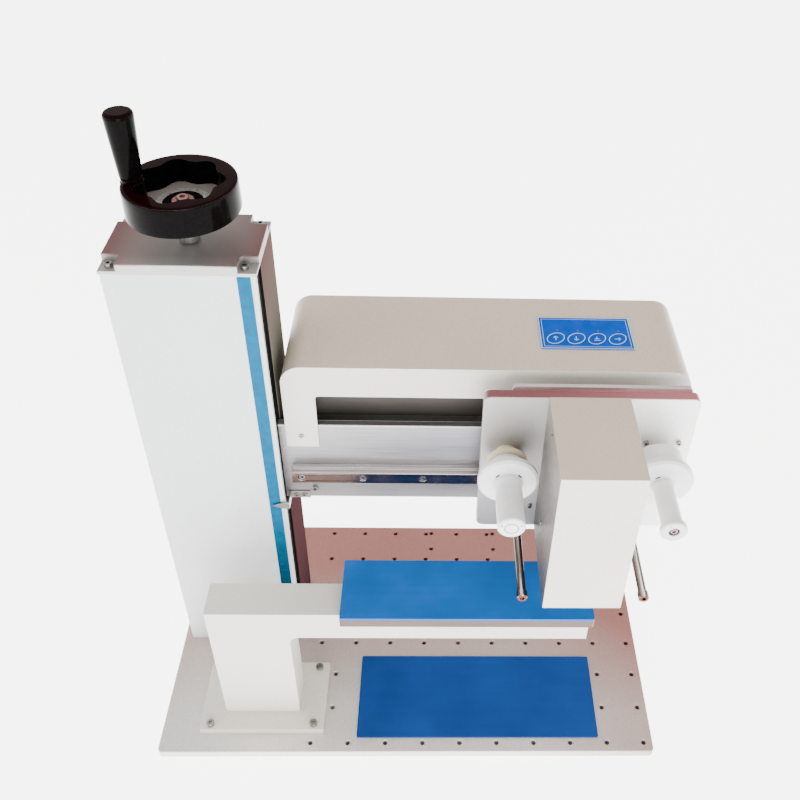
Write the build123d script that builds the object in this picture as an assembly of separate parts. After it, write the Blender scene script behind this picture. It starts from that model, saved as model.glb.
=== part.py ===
from build123d import *
import os
from math import cos, pi, radians, sin

# A bench hot-foil press with a hand-cranked column. Millimetres, +Z up, +Y away from the user.
# The origin is the middle of the base plate's underside.

# ---- base plate and its tapped grid
BASE_W, BASE_D, BASE_T, BASE_R = 530, 300, 10, 5
GRID, GRID_COLS, GRID_ROWS = 40, 10, 8
GRID_X0, GRID_Y0 = -105, -140
SPARSE_ROWS = (1, 2)                 # rows that run under the lower pad
SPARSE_X = (-85, 215, 255)           # their only holes, left and right of the pad
FIXTURE_X, FIXTURE_Y = (22, 102.5), (116, 141)
TAP_R, TAP_CHAMFER = 2.5, 0.7
PAD_W, PAD_D, PAD_T = 262, 95.7, 2
PAD_X, PAD_Y = 75, -86.85

# ---- column
COL_W, COL_D, COL_H = 128, 80, 522
COL_X, COL_FRONT = -192, -14
WALL, REAR_WALL, FRONT_T = 4, 6, 4
SLOT_D = 20                          # the side slot, from the front panel backwards
PORT = 8                             # square screw ports in the corners
CAP_T, CAP_LIP = 10, 1
NOTCH_W, NOTCH_D, NOTCH_FLOOR, NOTCH_R = 15.5, 16, 3, 3
FOOT_BLOCK_W, FOOT_BLOCK_H = 100, 20
STRIP_W, STRIP_T, STRIP_EDGE = 11.5, 0.4, 4.5
LIP_INSET, LIP_GAP = 0.5, 0.8

# ---- lift: screw, handwheel and crank grip
SCREW_X, SCREW_Y = -188.6, 24.5
SCREW_R, JOURNAL_R, NUT_R, NUT_FLANGE_R, NUT_FLANGE_T = 7, 5, 11, 15, 6
BEARING_R, BEARING_H = 13, 8
RUN = 0.05                           # radial running clearance
WHEEL_R, WHEEL_H, WHEEL_TOP = 47.2, 27, 599.2
WHEEL_HUB_R, HUB_LOW, SLEEVE_R = 14, 556, 9
DISH_R, DISH_WAVE, DISH_LOBES, DISH_TURN, DISH_DEPTH = 34.7, 2.9, 7, 57.3, 21.7
INSERT_R, INSERT_BORE_R, INSERT_T = 23.5, 16.7, 2
WASHER_R, WASHER_T = 9.3, 1.6
GRIP_RADIUS, GRIP_ANGLE, GRIP_SEAT_R = 37.4, 184, 9.5
GRIP_FOOT_R, GRIP_TOP_R, GRIP_TOP = 9.2, 11.9, 660.2
STUD_R, STUD_COLLAR_R, STUD_COLLAR_H = 4, 8.8, 4.5
LIFT_RAIL_X = (-223, -161)
LIFT_RAIL_LEN = 480
LIFT_BLOCK_Z, LIFT_BLOCK_LEN = (270, 318), 40
CARRIAGE_W, CARRIAGE_Z0, CARRIAGE_Z1 = 98, 250, 340

# ---- arm plate and its rail (size 15 profile rail)
ARM_X0, ARM_X1, ARM_T, ARM_Z0, ARM_Z1 = -241, 263, 8, 244, 346.7
RAIL_W, RAIL_H, BLOCK_W, BLOCK_H, BLOCK_CLEAR = 15, 12.5, 34, 24, 4.5
RAIL_X0, RAIL_LEN, RAIL_Z = -118.5, 381.5, 285.8
RAIL_PITCH, RAIL_END = 60, 10
RAIL_GAP = 0.3                       # between a rail and the block that runs on it
ARM_SCREW = (-98.8, 257.7)
POINTER_Z0, POINTER_H, POINTER_T = 244, 9, 1.5
POINTER_FOLD_X, POINTER_TIP_X, POINTER_REACH = -125, -141, 17

# ---- beam cover
COVER_X0, COVER_X1, COVER_Y0, COVER_Y1 = -121.6, 263, -1.5, 110
COVER_TOP, COVER_SHEET, COVER_R = 421.7, 1.5, 20
COVER_REAR_Z0, LEG_Z0 = 250, 319
WINDOW_X0, WINDOW_X1, WINDOW_TOP, WINDOW_R = -90.5, 231.9, 386, 3
COVER_SCREW_X, COVER_SCREW_Z = 14.6, 334
KEYPAD_X, KEYPAD_Y, KEYPAD_W, KEYPAD_D, KEYPAD_T = 167.5, 54, 90, 48, 1.2
KEY_A, KEY_B, KEY_TILT, KEY_PITCH, KEY_DY = 10.2, 7.8, 40, 20, -9
KEY_GAP, KEY_TRAVEL, KEY_PROUD = 0.25, 0.5, 0.2
SWITCH_X, SWITCH_Z, SWITCH_W, SWITCH_H = -60, 300, 13, 19
SWITCH_PIN_Y, SWITCH_PIN_R = 106, 1.2
INLET_X, INLET_W, INLET_H = -25, 27, 20
USB_X, USB_W, USB_H = 5, 12, 11

# ---- traverse drive behind the arm plate
BELT_Y0, BELT_W, BELT_T, BELT_Z = 12, 10, 1.5, 321
DRIVE_X, IDLER_X, PULLEY_R, FLANGE_R = -75, 235, 9.1, 11
MOTOR_W, MOTOR_LEN, MOTOR_CHAMFER = 42.3, 40, 4
SHAFT_R, AXLE_R = 2.5, 3
GUARD_X0, GUARD_X1, GUARD_T, GUARD_Z0 = -100, 243, 1.5, 328

# ---- head carriage
HEAD_X0, HEAD_X1, HEAD_Y0, HEAD_T, HEAD_Z0, HEAD_Z1, HEAD_R = 66, 263.5, -34, 10, 242.5, 418, 7
HEAD_BLOCK_X, HEAD_BLOCK_LEN, BLOCK_SCREW = (105, 241), 44, 13
BACKING_X0, BACKING_X1, BACKING_Z0, BACKING_TOP, BACKING_T = 92, 256.5, 372, 422.5, 4
CLAMP_X0, CLAMP_X1, CLAMP_Z, CLAMP_T = 143, 183, 352, 4
BOX_X0, BOX_X1, BOX_Y0, BOX_Z0, BOX_Z1, BOX_SHEET = 124.5, 198, -132, 244, 419, 1.5
BOX_SCREW_Y, BOX_SCREW_Z = -72, (293, 408)
ROD_X, ROD_Z, ROD_R, ROD_COLLAR_R, ROD_COLLAR_L, ROD_Y0 = (105, 217.6), 258, 4, 5, 7, -132
SPINDLE_Z, SUPPLY_X, TAKEUP_X = 347.8, 89.7, 231
SUPPLY_FLANGE_R, SUPPLY_TUBE_R, SUPPLY_END = 27.8, 12.4, -124.4
TAKEUP_FLANGE_R, TAKEUP_TUBE_R, TAKEUP_CAP_R, TAKEUP_END = 29.3, 9.5, 12, -127.3
FLANGE_Y0, FLANGE_T, BUSH_R = -72.9, 10, 7
NOTCH_ANGLES, NOTCH_ROOT_R = (-78, -45), 11
TAKEUP_MOTOR_X, TAKEUP_MOTOR_LEN, MOTOR_SCREW = 235.9, 20, 15.5

# ---- print head inside the box
PRESS_RAIL_W, PRESS_RAIL_T = 15, 6
PRESS_X0, PRESS_X1 = 136, 189
PRESS_HEAD_Y0, PRESS_HEAD_Y1 = -122, -60
SLIDER_T, SLIDER_Z0, SLIDER_Z1, SHELF_T = 10, 280, 348, 8
HEAD_BOTTOM = 250
PRESS_MOTOR_Y, PRESS_MOTOR_Z0, PRESS_MOTOR_LEN, PRESS_SCREW_R = -90, 360, 34, 3
STRIP_H, FIN_T, FIN_GAPS = 5, 4, 7

# ---- free arm stand
STAND_FOOT_X, STAND_FOOT_Y, STAND_FOOT_W, STAND_FOOT_D, STAND_FOOT_T = -158.2, -89.8, 132.5, 79.5, 7
STAND_SCREW_DX, STAND_SCREW_DY = 55, 33
POST_X0, POST_X1, POST_Y0, POST_Y1 = -199, -119, -109, -73
STAND_TOP, STAND_ARM_H, STAND_ARM_X1, STAND_SHEET, STAND_R = 197, 39, 178.5, 3, 9
TOP_PAD_X0, TOP_PAD_X1, TOP_PAD_Y0, TOP_PAD_Y1 = -66, 179.5, -122, -54.4
TOP_PLATE_T, TOP_PAD_T = 11, 2.5

# ---- worked out from the above
COL_X0, COL_X1 = COL_X - COL_W / 2, COL_X + COL_W / 2
COL_BACK = COL_FRONT + COL_D
COL_TOP = BASE_T + COL_H
INSIDE_FRONT, INSIDE_BACK = COL_FRONT + FRONT_T, COL_BACK - REAR_WALL
CAP_TOP = COL_TOP + CAP_T
CARRIAGE_BACK = INSIDE_BACK - BLOCK_H
SLEEVE_LOW = CAP_TOP + 1.5
DISH_FLOOR = WHEEL_TOP - DISH_DEPTH
SCREW_END = DISH_FLOOR - 6
GRIP_X = SCREW_X + GRIP_RADIUS * cos(radians(GRIP_ANGLE))
GRIP_Y = SCREW_Y + GRIP_RADIUS * sin(radians(GRIP_ANGLE))
HEAD_BACK = HEAD_Y0 + HEAD_T
PRESS_X = (PRESS_X0 + PRESS_X1) / 2
RAIL_SCREWS_X = [RAIL_X0 + RAIL_END + RAIL_PITCH * i for i in range(7)]
KEYS_X = [KEYPAD_X + KEY_PITCH * (i - 1.5) for i in range(4)]


def block(x0, x1, y0, y1, z0, z1):
    """A box between two corners."""
    centre = Pos((x0 + x1) / 2, (y0 + y1) / 2, (z0 + z1) / 2)
    return centre * Box(x1 - x0, y1 - y0, z1 - z0)


def rod_z(x, y, z0, z1, radius):
    return Pos(x, y, (z0 + z1) / 2) * Cylinder(radius, z1 - z0)


def rod_y(x, z, y0, y1, radius):
    return Pos(x, (y0 + y1) / 2, z) * Rot(90, 0, 0) * Cylinder(radius, y1 - y0)


def rod_x(y, z, x0, x1, radius):
    return Pos((x0 + x1) / 2, y, z) * Rot(0, 90, 0) * Cylinder(radius, x1 - x0)


def turned(points):
    """A solid of revolution about Z from (radius, height) points."""
    outline = [(radius, 0, height) for radius, height in points]
    return revolve(make_face(Polyline(*outline, close=True)), Axis.Z)


def facing_user(x, z, y=0):
    """Places a piece turned about Z so that its +Z points at the user, along -Y."""
    return Pos(x, y, z) * Rot(90, 0, 0)


def on_arm_face(x, z):
    """Lays a section on the arm's front face: its width up Z, its height at the user, its length along X."""
    return Plane(origin=(x, 0, z), x_dir=(0, 0, 1), z_dir=(1, 0, 0))


def round_upright_edges(body, radius):
    return fillet(body.edges().filter_by(Axis.Z), radius)


def socket_screw(size, length, head_r=None, head_h=None):
    """A socket-head screw: its head stands on Z = 0 and its shank goes down."""
    head_r = head_r or size * 0.85
    head_h = head_h or size
    head = Pos(0, 0, head_h / 2) * Cylinder(head_r, head_h)
    head = chamfer(head.faces().sort_by(Axis.Z)[-1].edges(), size * 0.08)
    shank = Pos(0, 0, -length / 2) * Cylinder(size / 2, length)
    socket = Pos(0, 0, head_h * 0.45) * extrude(RegularPolygon(size * 0.45, 6), head_h)
    return head + shank - socket


def rail_section(gap=0.0):
    """A profile rail's section, standing on Y = 0 and 12.5 high, or its running channel."""
    half, waist = RAIL_W / 2 + gap, RAIL_W / 2 - 1.6 + gap
    top = RAIL_H + gap
    right = [(half, 0), (half, 4.6), (waist, 6.2), (waist, 8.4), (half, 10), (half, top - 0.6)]
    right.append((half - 0.6, top))
    left = [(-x, y) for x, y in reversed(right)]
    return make_face(Polyline(*right, *left, close=True))


def motor_body(length):
    """A square stepper motor on Z = 0, with its flange at the top."""
    body = Pos(0, 0, length / 2) * Box(MOTOR_W, MOTOR_W, length)
    return chamfer(body.edges().filter_by(Axis.Z), MOTOR_CHAMFER)


# ------------------------------------------------------------------ base

def grid_points():
    """Places of the tapped holes: a grid, thinned out where the lower pad lies, and four for a fixture."""
    points = []
    for row in range(GRID_ROWS):
        y = GRID_Y0 + GRID * row
        if row in SPARSE_ROWS:
            points += [(x, y) for x in SPARSE_X]
        else:
            points += [(GRID_X0 + GRID * column, y) for column in range(GRID_COLS)]
    return points + [(x, y) for x in FIXTURE_X for y in FIXTURE_Y]


def stand_screw_points():
    """The stand's four foot screws."""
    return [(STAND_FOOT_X + sx * STAND_SCREW_DX, STAND_FOOT_Y + sy * STAND_SCREW_DY)
            for sx in (-1, 1) for sy in (-1, 1)]


def base_plate():
    plate = round_upright_edges(block(-BASE_W / 2, BASE_W / 2, -BASE_D / 2, BASE_D / 2, 0, BASE_T), BASE_R)
    plate = chamfer(plate.faces().sort_by(Axis.Z)[-1].edges(), 0.6)
    tapped = Pos(0, 0, BASE_T / 2) * Cylinder(TAP_R, BASE_T + 1)
    mouth = Pos(0, 0, BASE_T - TAP_CHAMFER / 2) * Cone(TAP_R, TAP_R + TAP_CHAMFER, TAP_CHAMFER)
    holes = [Pos(x, y, 0) * (tapped + mouth) for x, y in grid_points()]
    holes += [Pos(x, y, 0) * tapped for x, y in stand_screw_points()]
    return plate - holes


def base_pad():
    half_w, half_d = PAD_W / 2, PAD_D / 2
    pad = block(PAD_X - half_w, PAD_X + half_w, PAD_Y - half_d, PAD_Y + half_d, BASE_T, BASE_T + PAD_T)
    return round_upright_edges(pad, 1.5)


# ---------------------------------------------------------------- column

def cap_screw_points():
    """The cap's four corner screws, over the column's screw ports."""
    front, back = INSIDE_FRONT + 2.5, INSIDE_BACK - 1.5
    return [(COL_X0 + 7, front), (COL_X1 - 9.5, front), (COL_X0 + 7, back), (COL_X1 - 7, back)]


def port_holes():
    return [rod_z(x, y, COL_TOP - 14, COL_TOP + 1, 2) for x, y in cap_screw_points()]


def column_body():
    """Left, rear and right walls in one, open at the front and along the side slot."""
    z = (BASE_T, COL_TOP)
    slot_back = INSIDE_FRONT + SLOT_D
    left = block(COL_X0, COL_X0 + WALL, INSIDE_FRONT, COL_BACK, *z)
    rear = block(COL_X0, COL_X1, INSIDE_BACK, COL_BACK, *z)
    right = block(COL_X1 - WALL, COL_X1, slot_back, COL_BACK, *z)
    inner_left, inner_right = COL_X0 + WALL, COL_X1 - WALL
    ports = block(inner_left, inner_left + PORT, INSIDE_FRONT, INSIDE_FRONT + PORT, *z)
    ports += block(inner_left, inner_left + PORT, INSIDE_BACK - PORT, INSIDE_BACK, *z)
    ports += block(inner_right - PORT, inner_right, INSIDE_BACK - PORT, INSIDE_BACK, *z)
    return left + rear + right + ports - port_holes()


def column_front_panel():
    """The wide front panel, with a screw port behind its right edge."""
    panel = block(COL_X0, COL_X1, COL_FRONT, INSIDE_FRONT, BASE_T, COL_TOP)
    edge = COL_X1 - WALL
    port = block(edge - PORT, edge, INSIDE_FRONT, INSIDE_FRONT + PORT, BASE_T, COL_TOP)
    return panel + port - port_holes()


def column_top_cap():
    x0, x1 = COL_X0 - CAP_LIP, COL_X1 + CAP_LIP
    y0, y1 = COL_FRONT - CAP_LIP, COL_BACK + CAP_LIP
    cap = block(x0, x1, y0, y1, COL_TOP, CAP_TOP)
    cap = chamfer(cap.faces().sort_by(Axis.Z)[-1].edges(), 0.5)
    for x in (x0, x1):
        for y in (y0, y1):
            notch = Box(2 * NOTCH_W, 2 * NOTCH_D, 2 * (CAP_T - NOTCH_FLOOR))
            cap -= Pos(x, y, CAP_TOP) * round_upright_edges(notch, NOTCH_R)
    cap -= [rod_z(x, y, COL_TOP - 1, CAP_TOP + 1, 2.2) for x, y in cap_screw_points()]
    cap -= rod_z(SCREW_X, SCREW_Y, COL_TOP - 1, COL_TOP + BEARING_H, BEARING_R)
    return cap - rod_z(SCREW_X, SCREW_Y, COL_TOP, CAP_TOP + 1, JOURNAL_R + 2)


def column_cap_screws():
    floor = COL_TOP + NOTCH_FLOOR
    return [Pos(x, y, floor) * socket_screw(4, 13) for x, y in cap_screw_points()]


def column_foot_block():
    """The block inside the column's foot, with the lower bearing's pocket."""
    half, top = FOOT_BLOCK_W / 2, BASE_T + FOOT_BLOCK_H
    foot = block(COL_X - half - 1, COL_X + half - 1, INSIDE_FRONT, INSIDE_BACK, BASE_T, top)
    return foot - rod_z(SCREW_X, SCREW_Y, top - BEARING_H, top + 1, BEARING_R)


def screw_bearings():
    """Lower and upper ball bearings of the lifting screw."""
    lower = BASE_T + FOOT_BLOCK_H - BEARING_H
    ring = turned([(JOURNAL_R + 0.02, 0), (BEARING_R - 0.5, 0), (BEARING_R, 0.5), (BEARING_R, BEARING_H - 0.5),
                   (BEARING_R - 0.5, BEARING_H), (JOURNAL_R + 0.02, BEARING_H)])
    return [Pos(SCREW_X, SCREW_Y, z) * ring for z in (lower, COL_TOP)]


def lift_rails():
    """Two upright profile rails on the rear wall."""
    z0 = BASE_T + FOOT_BLOCK_H + 1
    section = Rot(0, 0, 180) * rail_section()
    return [Pos(x, INSIDE_BACK, z0) * extrude(section, LIFT_RAIL_LEN) for x in LIFT_RAIL_X]


def scale_strip():
    x1 = COL_X1 - STRIP_EDGE
    return block(x1 - STRIP_W, x1, COL_FRONT - STRIP_T, COL_FRONT, BASE_T, COL_TOP - 1)


def slot_dust_lips():
    """Two rubber lips that fill the side slot, each just clear of the arm plate."""
    x0, x1, z0 = COL_X1 - WALL, COL_X1 - LIP_INSET, BASE_T
    front = block(x0, x1, INSIDE_FRONT, -LIP_GAP, z0, COL_TOP)
    rear = block(x0, x1, ARM_T + LIP_GAP, INSIDE_FRONT + SLOT_D, z0, COL_TOP)
    return [front, rear]


# ------------------------------------------------- lifting screw and wheel

def lead_screw():
    """The lifting screw: a threaded length between two journals, a sleeve under the wheel and a tapped end."""
    shoulder_low, shoulder_high = BASE_T + FOOT_BLOCK_H + 0.3, COL_TOP - 0.3
    journal = rod_z(SCREW_X, SCREW_Y, shoulder_low - BEARING_H, SCREW_END, JOURNAL_R)
    thread = rod_z(SCREW_X, SCREW_Y, shoulder_low, shoulder_high, SCREW_R)
    sleeve = rod_z(SCREW_X, SCREW_Y, SLEEVE_LOW, HUB_LOW, SLEEVE_R)
    return journal + thread + sleeve - rod_z(SCREW_X, SCREW_Y, SCREW_END - 18, SCREW_END + 1, 3)


def dish_outline():
    """The wheel's finger-grip cavity: a circle with evenly spaced waves."""
    steps = DISH_LOBES * 6
    points = []
    for i in range(steps):
        angle = 2 * pi * i / steps
        radius = DISH_R + DISH_WAVE * cos(DISH_LOBES * (angle - radians(DISH_TURN)))
        points.append((radius * cos(angle), radius * sin(angle)))
    return make_face(Spline(*points, periodic=True))


def handwheel():
    """A moulded wheel: straight rim with rounded edges, scalloped dish, web and a hub under it."""
    rim_low = WHEEL_TOP - WHEEL_H
    wheel = turned([
        (0, HUB_LOW), (WHEEL_HUB_R, HUB_LOW), (WHEEL_HUB_R + 2, rim_low + 0.8), (38, rim_low + 0.8),
        (40, rim_low), (WHEEL_R - 1.5, rim_low), (WHEEL_R - 0.4, rim_low + 0.4), (WHEEL_R, rim_low + 1.5),
        (WHEEL_R - 0.4, WHEEL_TOP - 2.2), (WHEEL_R - 0.9, WHEEL_TOP - 0.9), (WHEEL_R - 2.2, WHEEL_TOP - 0.2),
        (WHEEL_R - 4, WHEEL_TOP), (0, WHEEL_TOP)])
    dish = Pos(0, 0, DISH_FLOOR) * extrude(dish_outline(), DISH_DEPTH + 1)
    seat = rod_z(GRIP_X - SCREW_X, GRIP_Y - SCREW_Y, DISH_FLOOR, WHEEL_TOP, GRIP_SEAT_R)
    groove = rod_z(0, 0, DISH_FLOOR - 1, DISH_FLOOR + 1, INSERT_R)
    groove -= rod_z(0, 0, DISH_FLOOR - 2, DISH_FLOOR + 2, INSERT_BORE_R)
    boss = rod_z(0, 0, DISH_FLOOR - 1, DISH_FLOOR + INSERT_T, INSERT_BORE_R)
    wheel = wheel - dish + seat - groove + boss
    wheel -= rod_z(0, 0, HUB_LOW - 1, SCREW_END, JOURNAL_R) + rod_z(0, 0, SCREW_END, WHEEL_TOP, 3.2)
    wheel = Pos(SCREW_X, SCREW_Y, 0) * wheel
    return wheel - rod_z(GRIP_X, GRIP_Y, WHEEL_TOP - 12, WHEEL_TOP + 1, STUD_R)


def handwheel_insert():
    """The light metal ring let into the dish floor."""
    top = INSERT_T + 1
    ring = turned([(INSERT_BORE_R, 0), (INSERT_R, 0), (INSERT_R, top - 1.4), (INSERT_R - 1, top),
                   (INSERT_BORE_R, top)])
    return Pos(SCREW_X, SCREW_Y, DISH_FLOOR - 1) * ring


def handwheel_screw():
    """The screw and washer that hold the wheel on the lifting screw."""
    seat = DISH_FLOOR + INSERT_T
    washer = rod_z(SCREW_X, SCREW_Y, seat, seat + WASHER_T, WASHER_R)
    washer = chamfer(washer.faces().sort_by(Axis.Z)[-1].edges(), 0.4)
    return washer + Pos(SCREW_X, SCREW_Y, seat + WASHER_T) * socket_screw(6, 22, head_h=3)


def grip_stud():
    """The crank's stud, with the collar that spaces the grip from the rim."""
    stud = rod_z(GRIP_X, GRIP_Y, WHEEL_TOP - 12, GRIP_TOP - 6, STUD_R)
    collar = rod_z(GRIP_X, GRIP_Y, WHEEL_TOP, WHEEL_TOP + STUD_COLLAR_H, STUD_COLLAR_R)
    return stud + chamfer(collar.faces().sort_by(Axis.Z)[-1].edges(), 0.8)


def crank_grip():
    """The free-turning grip: wider at the top, with a rounded end and a blind bore."""
    foot = WHEEL_TOP + STUD_COLLAR_H + 0.3
    bore = STUD_R + RUN
    grip = turned([
        (bore, foot), (GRIP_FOOT_R - 1, foot), (GRIP_FOOT_R, foot + 1), (GRIP_FOOT_R + 1, foot + 20),
        (GRIP_TOP_R, GRIP_TOP - 4), (GRIP_TOP_R - 0.4, GRIP_TOP - 2), (GRIP_TOP_R - 1.4, GRIP_TOP - 0.7),
        (GRIP_TOP_R - 3, GRIP_TOP), (0, GRIP_TOP), (0, GRIP_TOP - 5.5), (bore, GRIP_TOP - 5.5)])
    return Pos(GRIP_X, GRIP_Y, 0) * grip


# ------------------------------------------------------------ lifting arm

def lift_carriage():
    """The block that ties the arm plate to the lift's four rail blocks and its nut."""
    x0 = ARM_X0
    body = block(x0, x0 + CARRIAGE_W, ARM_T, CARRIAGE_BACK, CARRIAGE_Z0, CARRIAGE_Z1)
    return body - rod_z(SCREW_X, SCREW_Y, CARRIAGE_Z0 - 1, CARRIAGE_Z1 + 1, NUT_R)


def lift_blocks():
    """Four blocks that run on the upright rails."""
    depth = BLOCK_H - BLOCK_CLEAR
    body = Pos(0, BLOCK_CLEAR + depth / 2, 0) * Box(BLOCK_W, depth, LIFT_BLOCK_LEN)
    body -= extrude(rail_section(RAIL_GAP), LIFT_BLOCK_LEN, both=True)
    body = Rot(0, 0, 180) * body
    return [Pos(x, INSIDE_BACK, z) * body for x in LIFT_RAIL_X for z in LIFT_BLOCK_Z]


def lead_nut():
    body = rod_z(SCREW_X, SCREW_Y, CARRIAGE_Z0 + 40, CARRIAGE_Z1, NUT_R)
    flange = rod_z(SCREW_X, SCREW_Y, CARRIAGE_Z1, CARRIAGE_Z1 + NUT_FLANGE_T, NUT_FLANGE_R)
    return body + flange - rod_z(SCREW_X, SCREW_Y, CARRIAGE_Z0, CARRIAGE_Z1 + 20, SCREW_R + RUN)


def arm_plate():
    plate = block(ARM_X0, ARM_X1, 0, ARM_T, ARM_Z0, ARM_Z1)
    plate = chamfer(plate.edges().filter_by(Axis.X), 0.6)
    return plate - rod_y(*ARM_SCREW, -1, ARM_T + 1, 2)


def arm_rail():
    """The profile rail along the arm, with counterbored screw holes."""
    rail = on_arm_face(RAIL_X0, RAIL_Z) * extrude(rail_section(), RAIL_LEN)
    for x in RAIL_SCREWS_X:
        rail -= rod_y(x, RAIL_Z, -RAIL_H - 1, -RAIL_H + 4.6, 3.8)
        rail -= rod_y(x, RAIL_Z, -RAIL_H, 1, 2)
    return rail


def rail_screws():
    """The rail's seven screws, sunk in their counterbores."""
    floor = -RAIL_H + 4.6
    screw = socket_screw(4, 7.9, head_r=3.4, head_h=3.6)
    return [facing_user(x, RAIL_Z, floor) * screw for x in RAIL_SCREWS_X]


def scale_pointer():
    """A bent strip: screwed to the arm plate, folded forwards and ending in an arrow over the scale."""
    z0, z1, zm = POINTER_Z0, POINTER_Z0 + POINTER_H, POINTER_Z0 + POINTER_H / 2
    fixed = block(POINTER_FOLD_X, ARM_SCREW[0] - 5, -POINTER_T, 0, z0, z1)
    leg = block(POINTER_FOLD_X, POINTER_FOLD_X + POINTER_T, -POINTER_REACH, 0, z0, z1)
    neck_x = POINTER_FOLD_X - 4
    outline = Polyline((POINTER_FOLD_X + POINTER_T, z0), (neck_x, z0), (POINTER_TIP_X, zm), (neck_x, z1),
                       (POINTER_FOLD_X + POINTER_T, z1), close=True)
    arrow = facing_user(0, 0, -POINTER_REACH + POINTER_T) * extrude(make_face(outline), POINTER_T)
    return fixed + leg + arrow - [rod_y(x, zm, -3, 1, 1.5) for x in pointer_screws_x()]


def pointer_screws_x():
    return [POINTER_FOLD_X + 7, POINTER_FOLD_X + 15]


def cover_screws_x():
    return [COVER_X0 + COVER_SCREW_X, COVER_X1 - COVER_SCREW_X]


def arm_screws():
    """The rail's screws, two for the pointer, two for the beam cover and one in the arm plate."""
    small = socket_screw(3, 1.4, head_h=1.2)
    pointer_z = POINTER_Z0 + POINTER_H / 2
    screws = rail_screws() + [facing_user(*ARM_SCREW) * socket_screw(4, 7, head_h=2.4)]
    screws += [facing_user(x, pointer_z, -POINTER_T) * small for x in pointer_screws_x()]
    return screws + [facing_user(x, COVER_SCREW_Z, COVER_Y0) * small for x in cover_screws_x()]


# ------------------------------------------------------------- beam cover

def cover_outline(inset):
    """The cover from the front: square below, with its two top corners rounded."""
    x0, x1, top = COVER_X0 + inset, COVER_X1 - inset, COVER_TOP - inset
    body = block(x0, x1, COVER_Y0 + inset, COVER_Y1 - inset, COVER_REAR_Z0 - (5 if inset else 0), top)
    upper = body.edges().filter_by(Axis.Y).group_by(Axis.Z)[-1]
    return fillet(upper, COVER_R - inset)


def window():
    """The opening in the cover's front sheet: up to a rounded top, and open at the bottom."""
    opening = block(WINDOW_X0, WINDOW_X1, COVER_Y0 - 1, 0.01, COVER_REAR_Z0 - 20, WINDOW_TOP)
    return fillet(opening.edges().filter_by(Axis.Y).group_by(Axis.Z)[-1], WINDOW_R)


def beam_cover():
    """A bent and welded sheet cover, open below, that hangs over the arm plate."""
    cover = cover_outline(0) - cover_outline(COVER_SHEET) - window()
    cover -= block(COVER_X0 - 1, COVER_X1 + 1, COVER_Y0 - 1, 0, COVER_REAR_Z0 - 1, LEG_Z0)
    cover -= block(COVER_X0 - 1, COVER_X1 + 1, 0, ARM_T + 0.5, COVER_REAR_Z0 - 1, ARM_Z1 + 0.5)
    cover -= [rod_y(x, COVER_SCREW_Z, -3, 1, 1.5) for x in cover_screws_x()]
    for fitting in ((SWITCH_X, SWITCH_W, SWITCH_H), (INLET_X, INLET_W, INLET_H), (USB_X, USB_W, USB_H)):
        cover -= on_rear(*fitting, -4, 1)
    return cover


def key_outline(x, grow):
    oval = Ellipse(KEY_A + grow, KEY_B + grow)
    return Pos(x, KEYPAD_Y + KEY_DY, COVER_TOP) * Rot(0, 0, KEY_TILT) * oval


def keypad_panel():
    """The membrane keypad's plate, with four oval wells."""
    plate = Pos(KEYPAD_X, KEYPAD_Y, COVER_TOP + KEYPAD_T / 2) * Box(KEYPAD_W, KEYPAD_D, KEYPAD_T)
    plate = round_upright_edges(plate, 1.5)
    return plate - [extrude(key_outline(x, KEY_GAP), KEYPAD_T + 1) for x in KEYS_X]


def key(x):
    """One oval key, held clear of the cover by its travel."""
    low = KEY_TRAVEL + 0.1
    return Pos(0, 0, low) * extrude(key_outline(x, 0), KEYPAD_T + KEY_PROUD - low)


def on_rear(x, width, height, y0, y1):
    """A box centred on the rear fittings' height, from y0 to y1 measured from the cover's rear face."""
    z0, z1 = SWITCH_Z - height / 2, SWITCH_Z + height / 2
    return block(x - width / 2, x + width / 2, COVER_Y1 + y0, COVER_Y1 + y1, z0, z1)


def open_socket(x, width, height, depth):
    """A socket shell with 2 mm walls, open at the back of the machine."""
    return on_rear(x, width, height, -depth, 1) - on_rear(x, width - 4, height - 4, 3 - depth, 2)


def switch_frame():
    """The switch's housing, with a bezel outside and a pin hole through its cheeks."""
    frame = on_rear(SWITCH_X, SWITCH_W, SWITCH_H, -14, 0)
    frame += on_rear(SWITCH_X, SWITCH_W + 2, SWITCH_H + 2, 0, 1.2)
    frame -= on_rear(SWITCH_X, SWITCH_W - 1.8, SWITCH_H - 1.8, -12, 2)
    half = SWITCH_W / 2
    return frame - rod_x(SWITCH_PIN_Y, SWITCH_Z, SWITCH_X - half, SWITCH_X + half, SWITCH_PIN_R + RUN)


def rear_sockets():
    """The mains inlet, the data socket and the power switch's frame, all let into the rear sheet."""
    inlet = open_socket(INLET_X, INLET_W, INLET_H, 22)
    inlet += Pos(0, 0, -3) * on_rear(INLET_X, 14, 4, -21, -3)
    return [inlet, open_socket(USB_X, USB_W, USB_H, 16), switch_frame()]


def power_switch():
    """A rocker on its cross pin, tipped to OFF with its upper end out."""
    half_w, half_h, y = SWITCH_W / 2 - 1.2, SWITCH_H / 2 - 1.6, COVER_Y1
    low, high = SWITCH_Z - half_h, SWITCH_Z + half_h - 1
    profile = Polyline((y - 6, low), (y + 0.6, low), (y - 0.6, SWITCH_Z), (y + 2.6, high), (y - 5, high),
                       close=True)
    rocker = Pos(SWITCH_X - half_w, 0, 0) * extrude(Plane.YZ * make_face(profile), 2 * half_w)
    half_pin = SWITCH_W / 2 - 0.1
    return rocker + rod_x(SWITCH_PIN_Y, SWITCH_Z, SWITCH_X - half_pin, SWITCH_X + half_pin, SWITCH_PIN_R)


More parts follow.
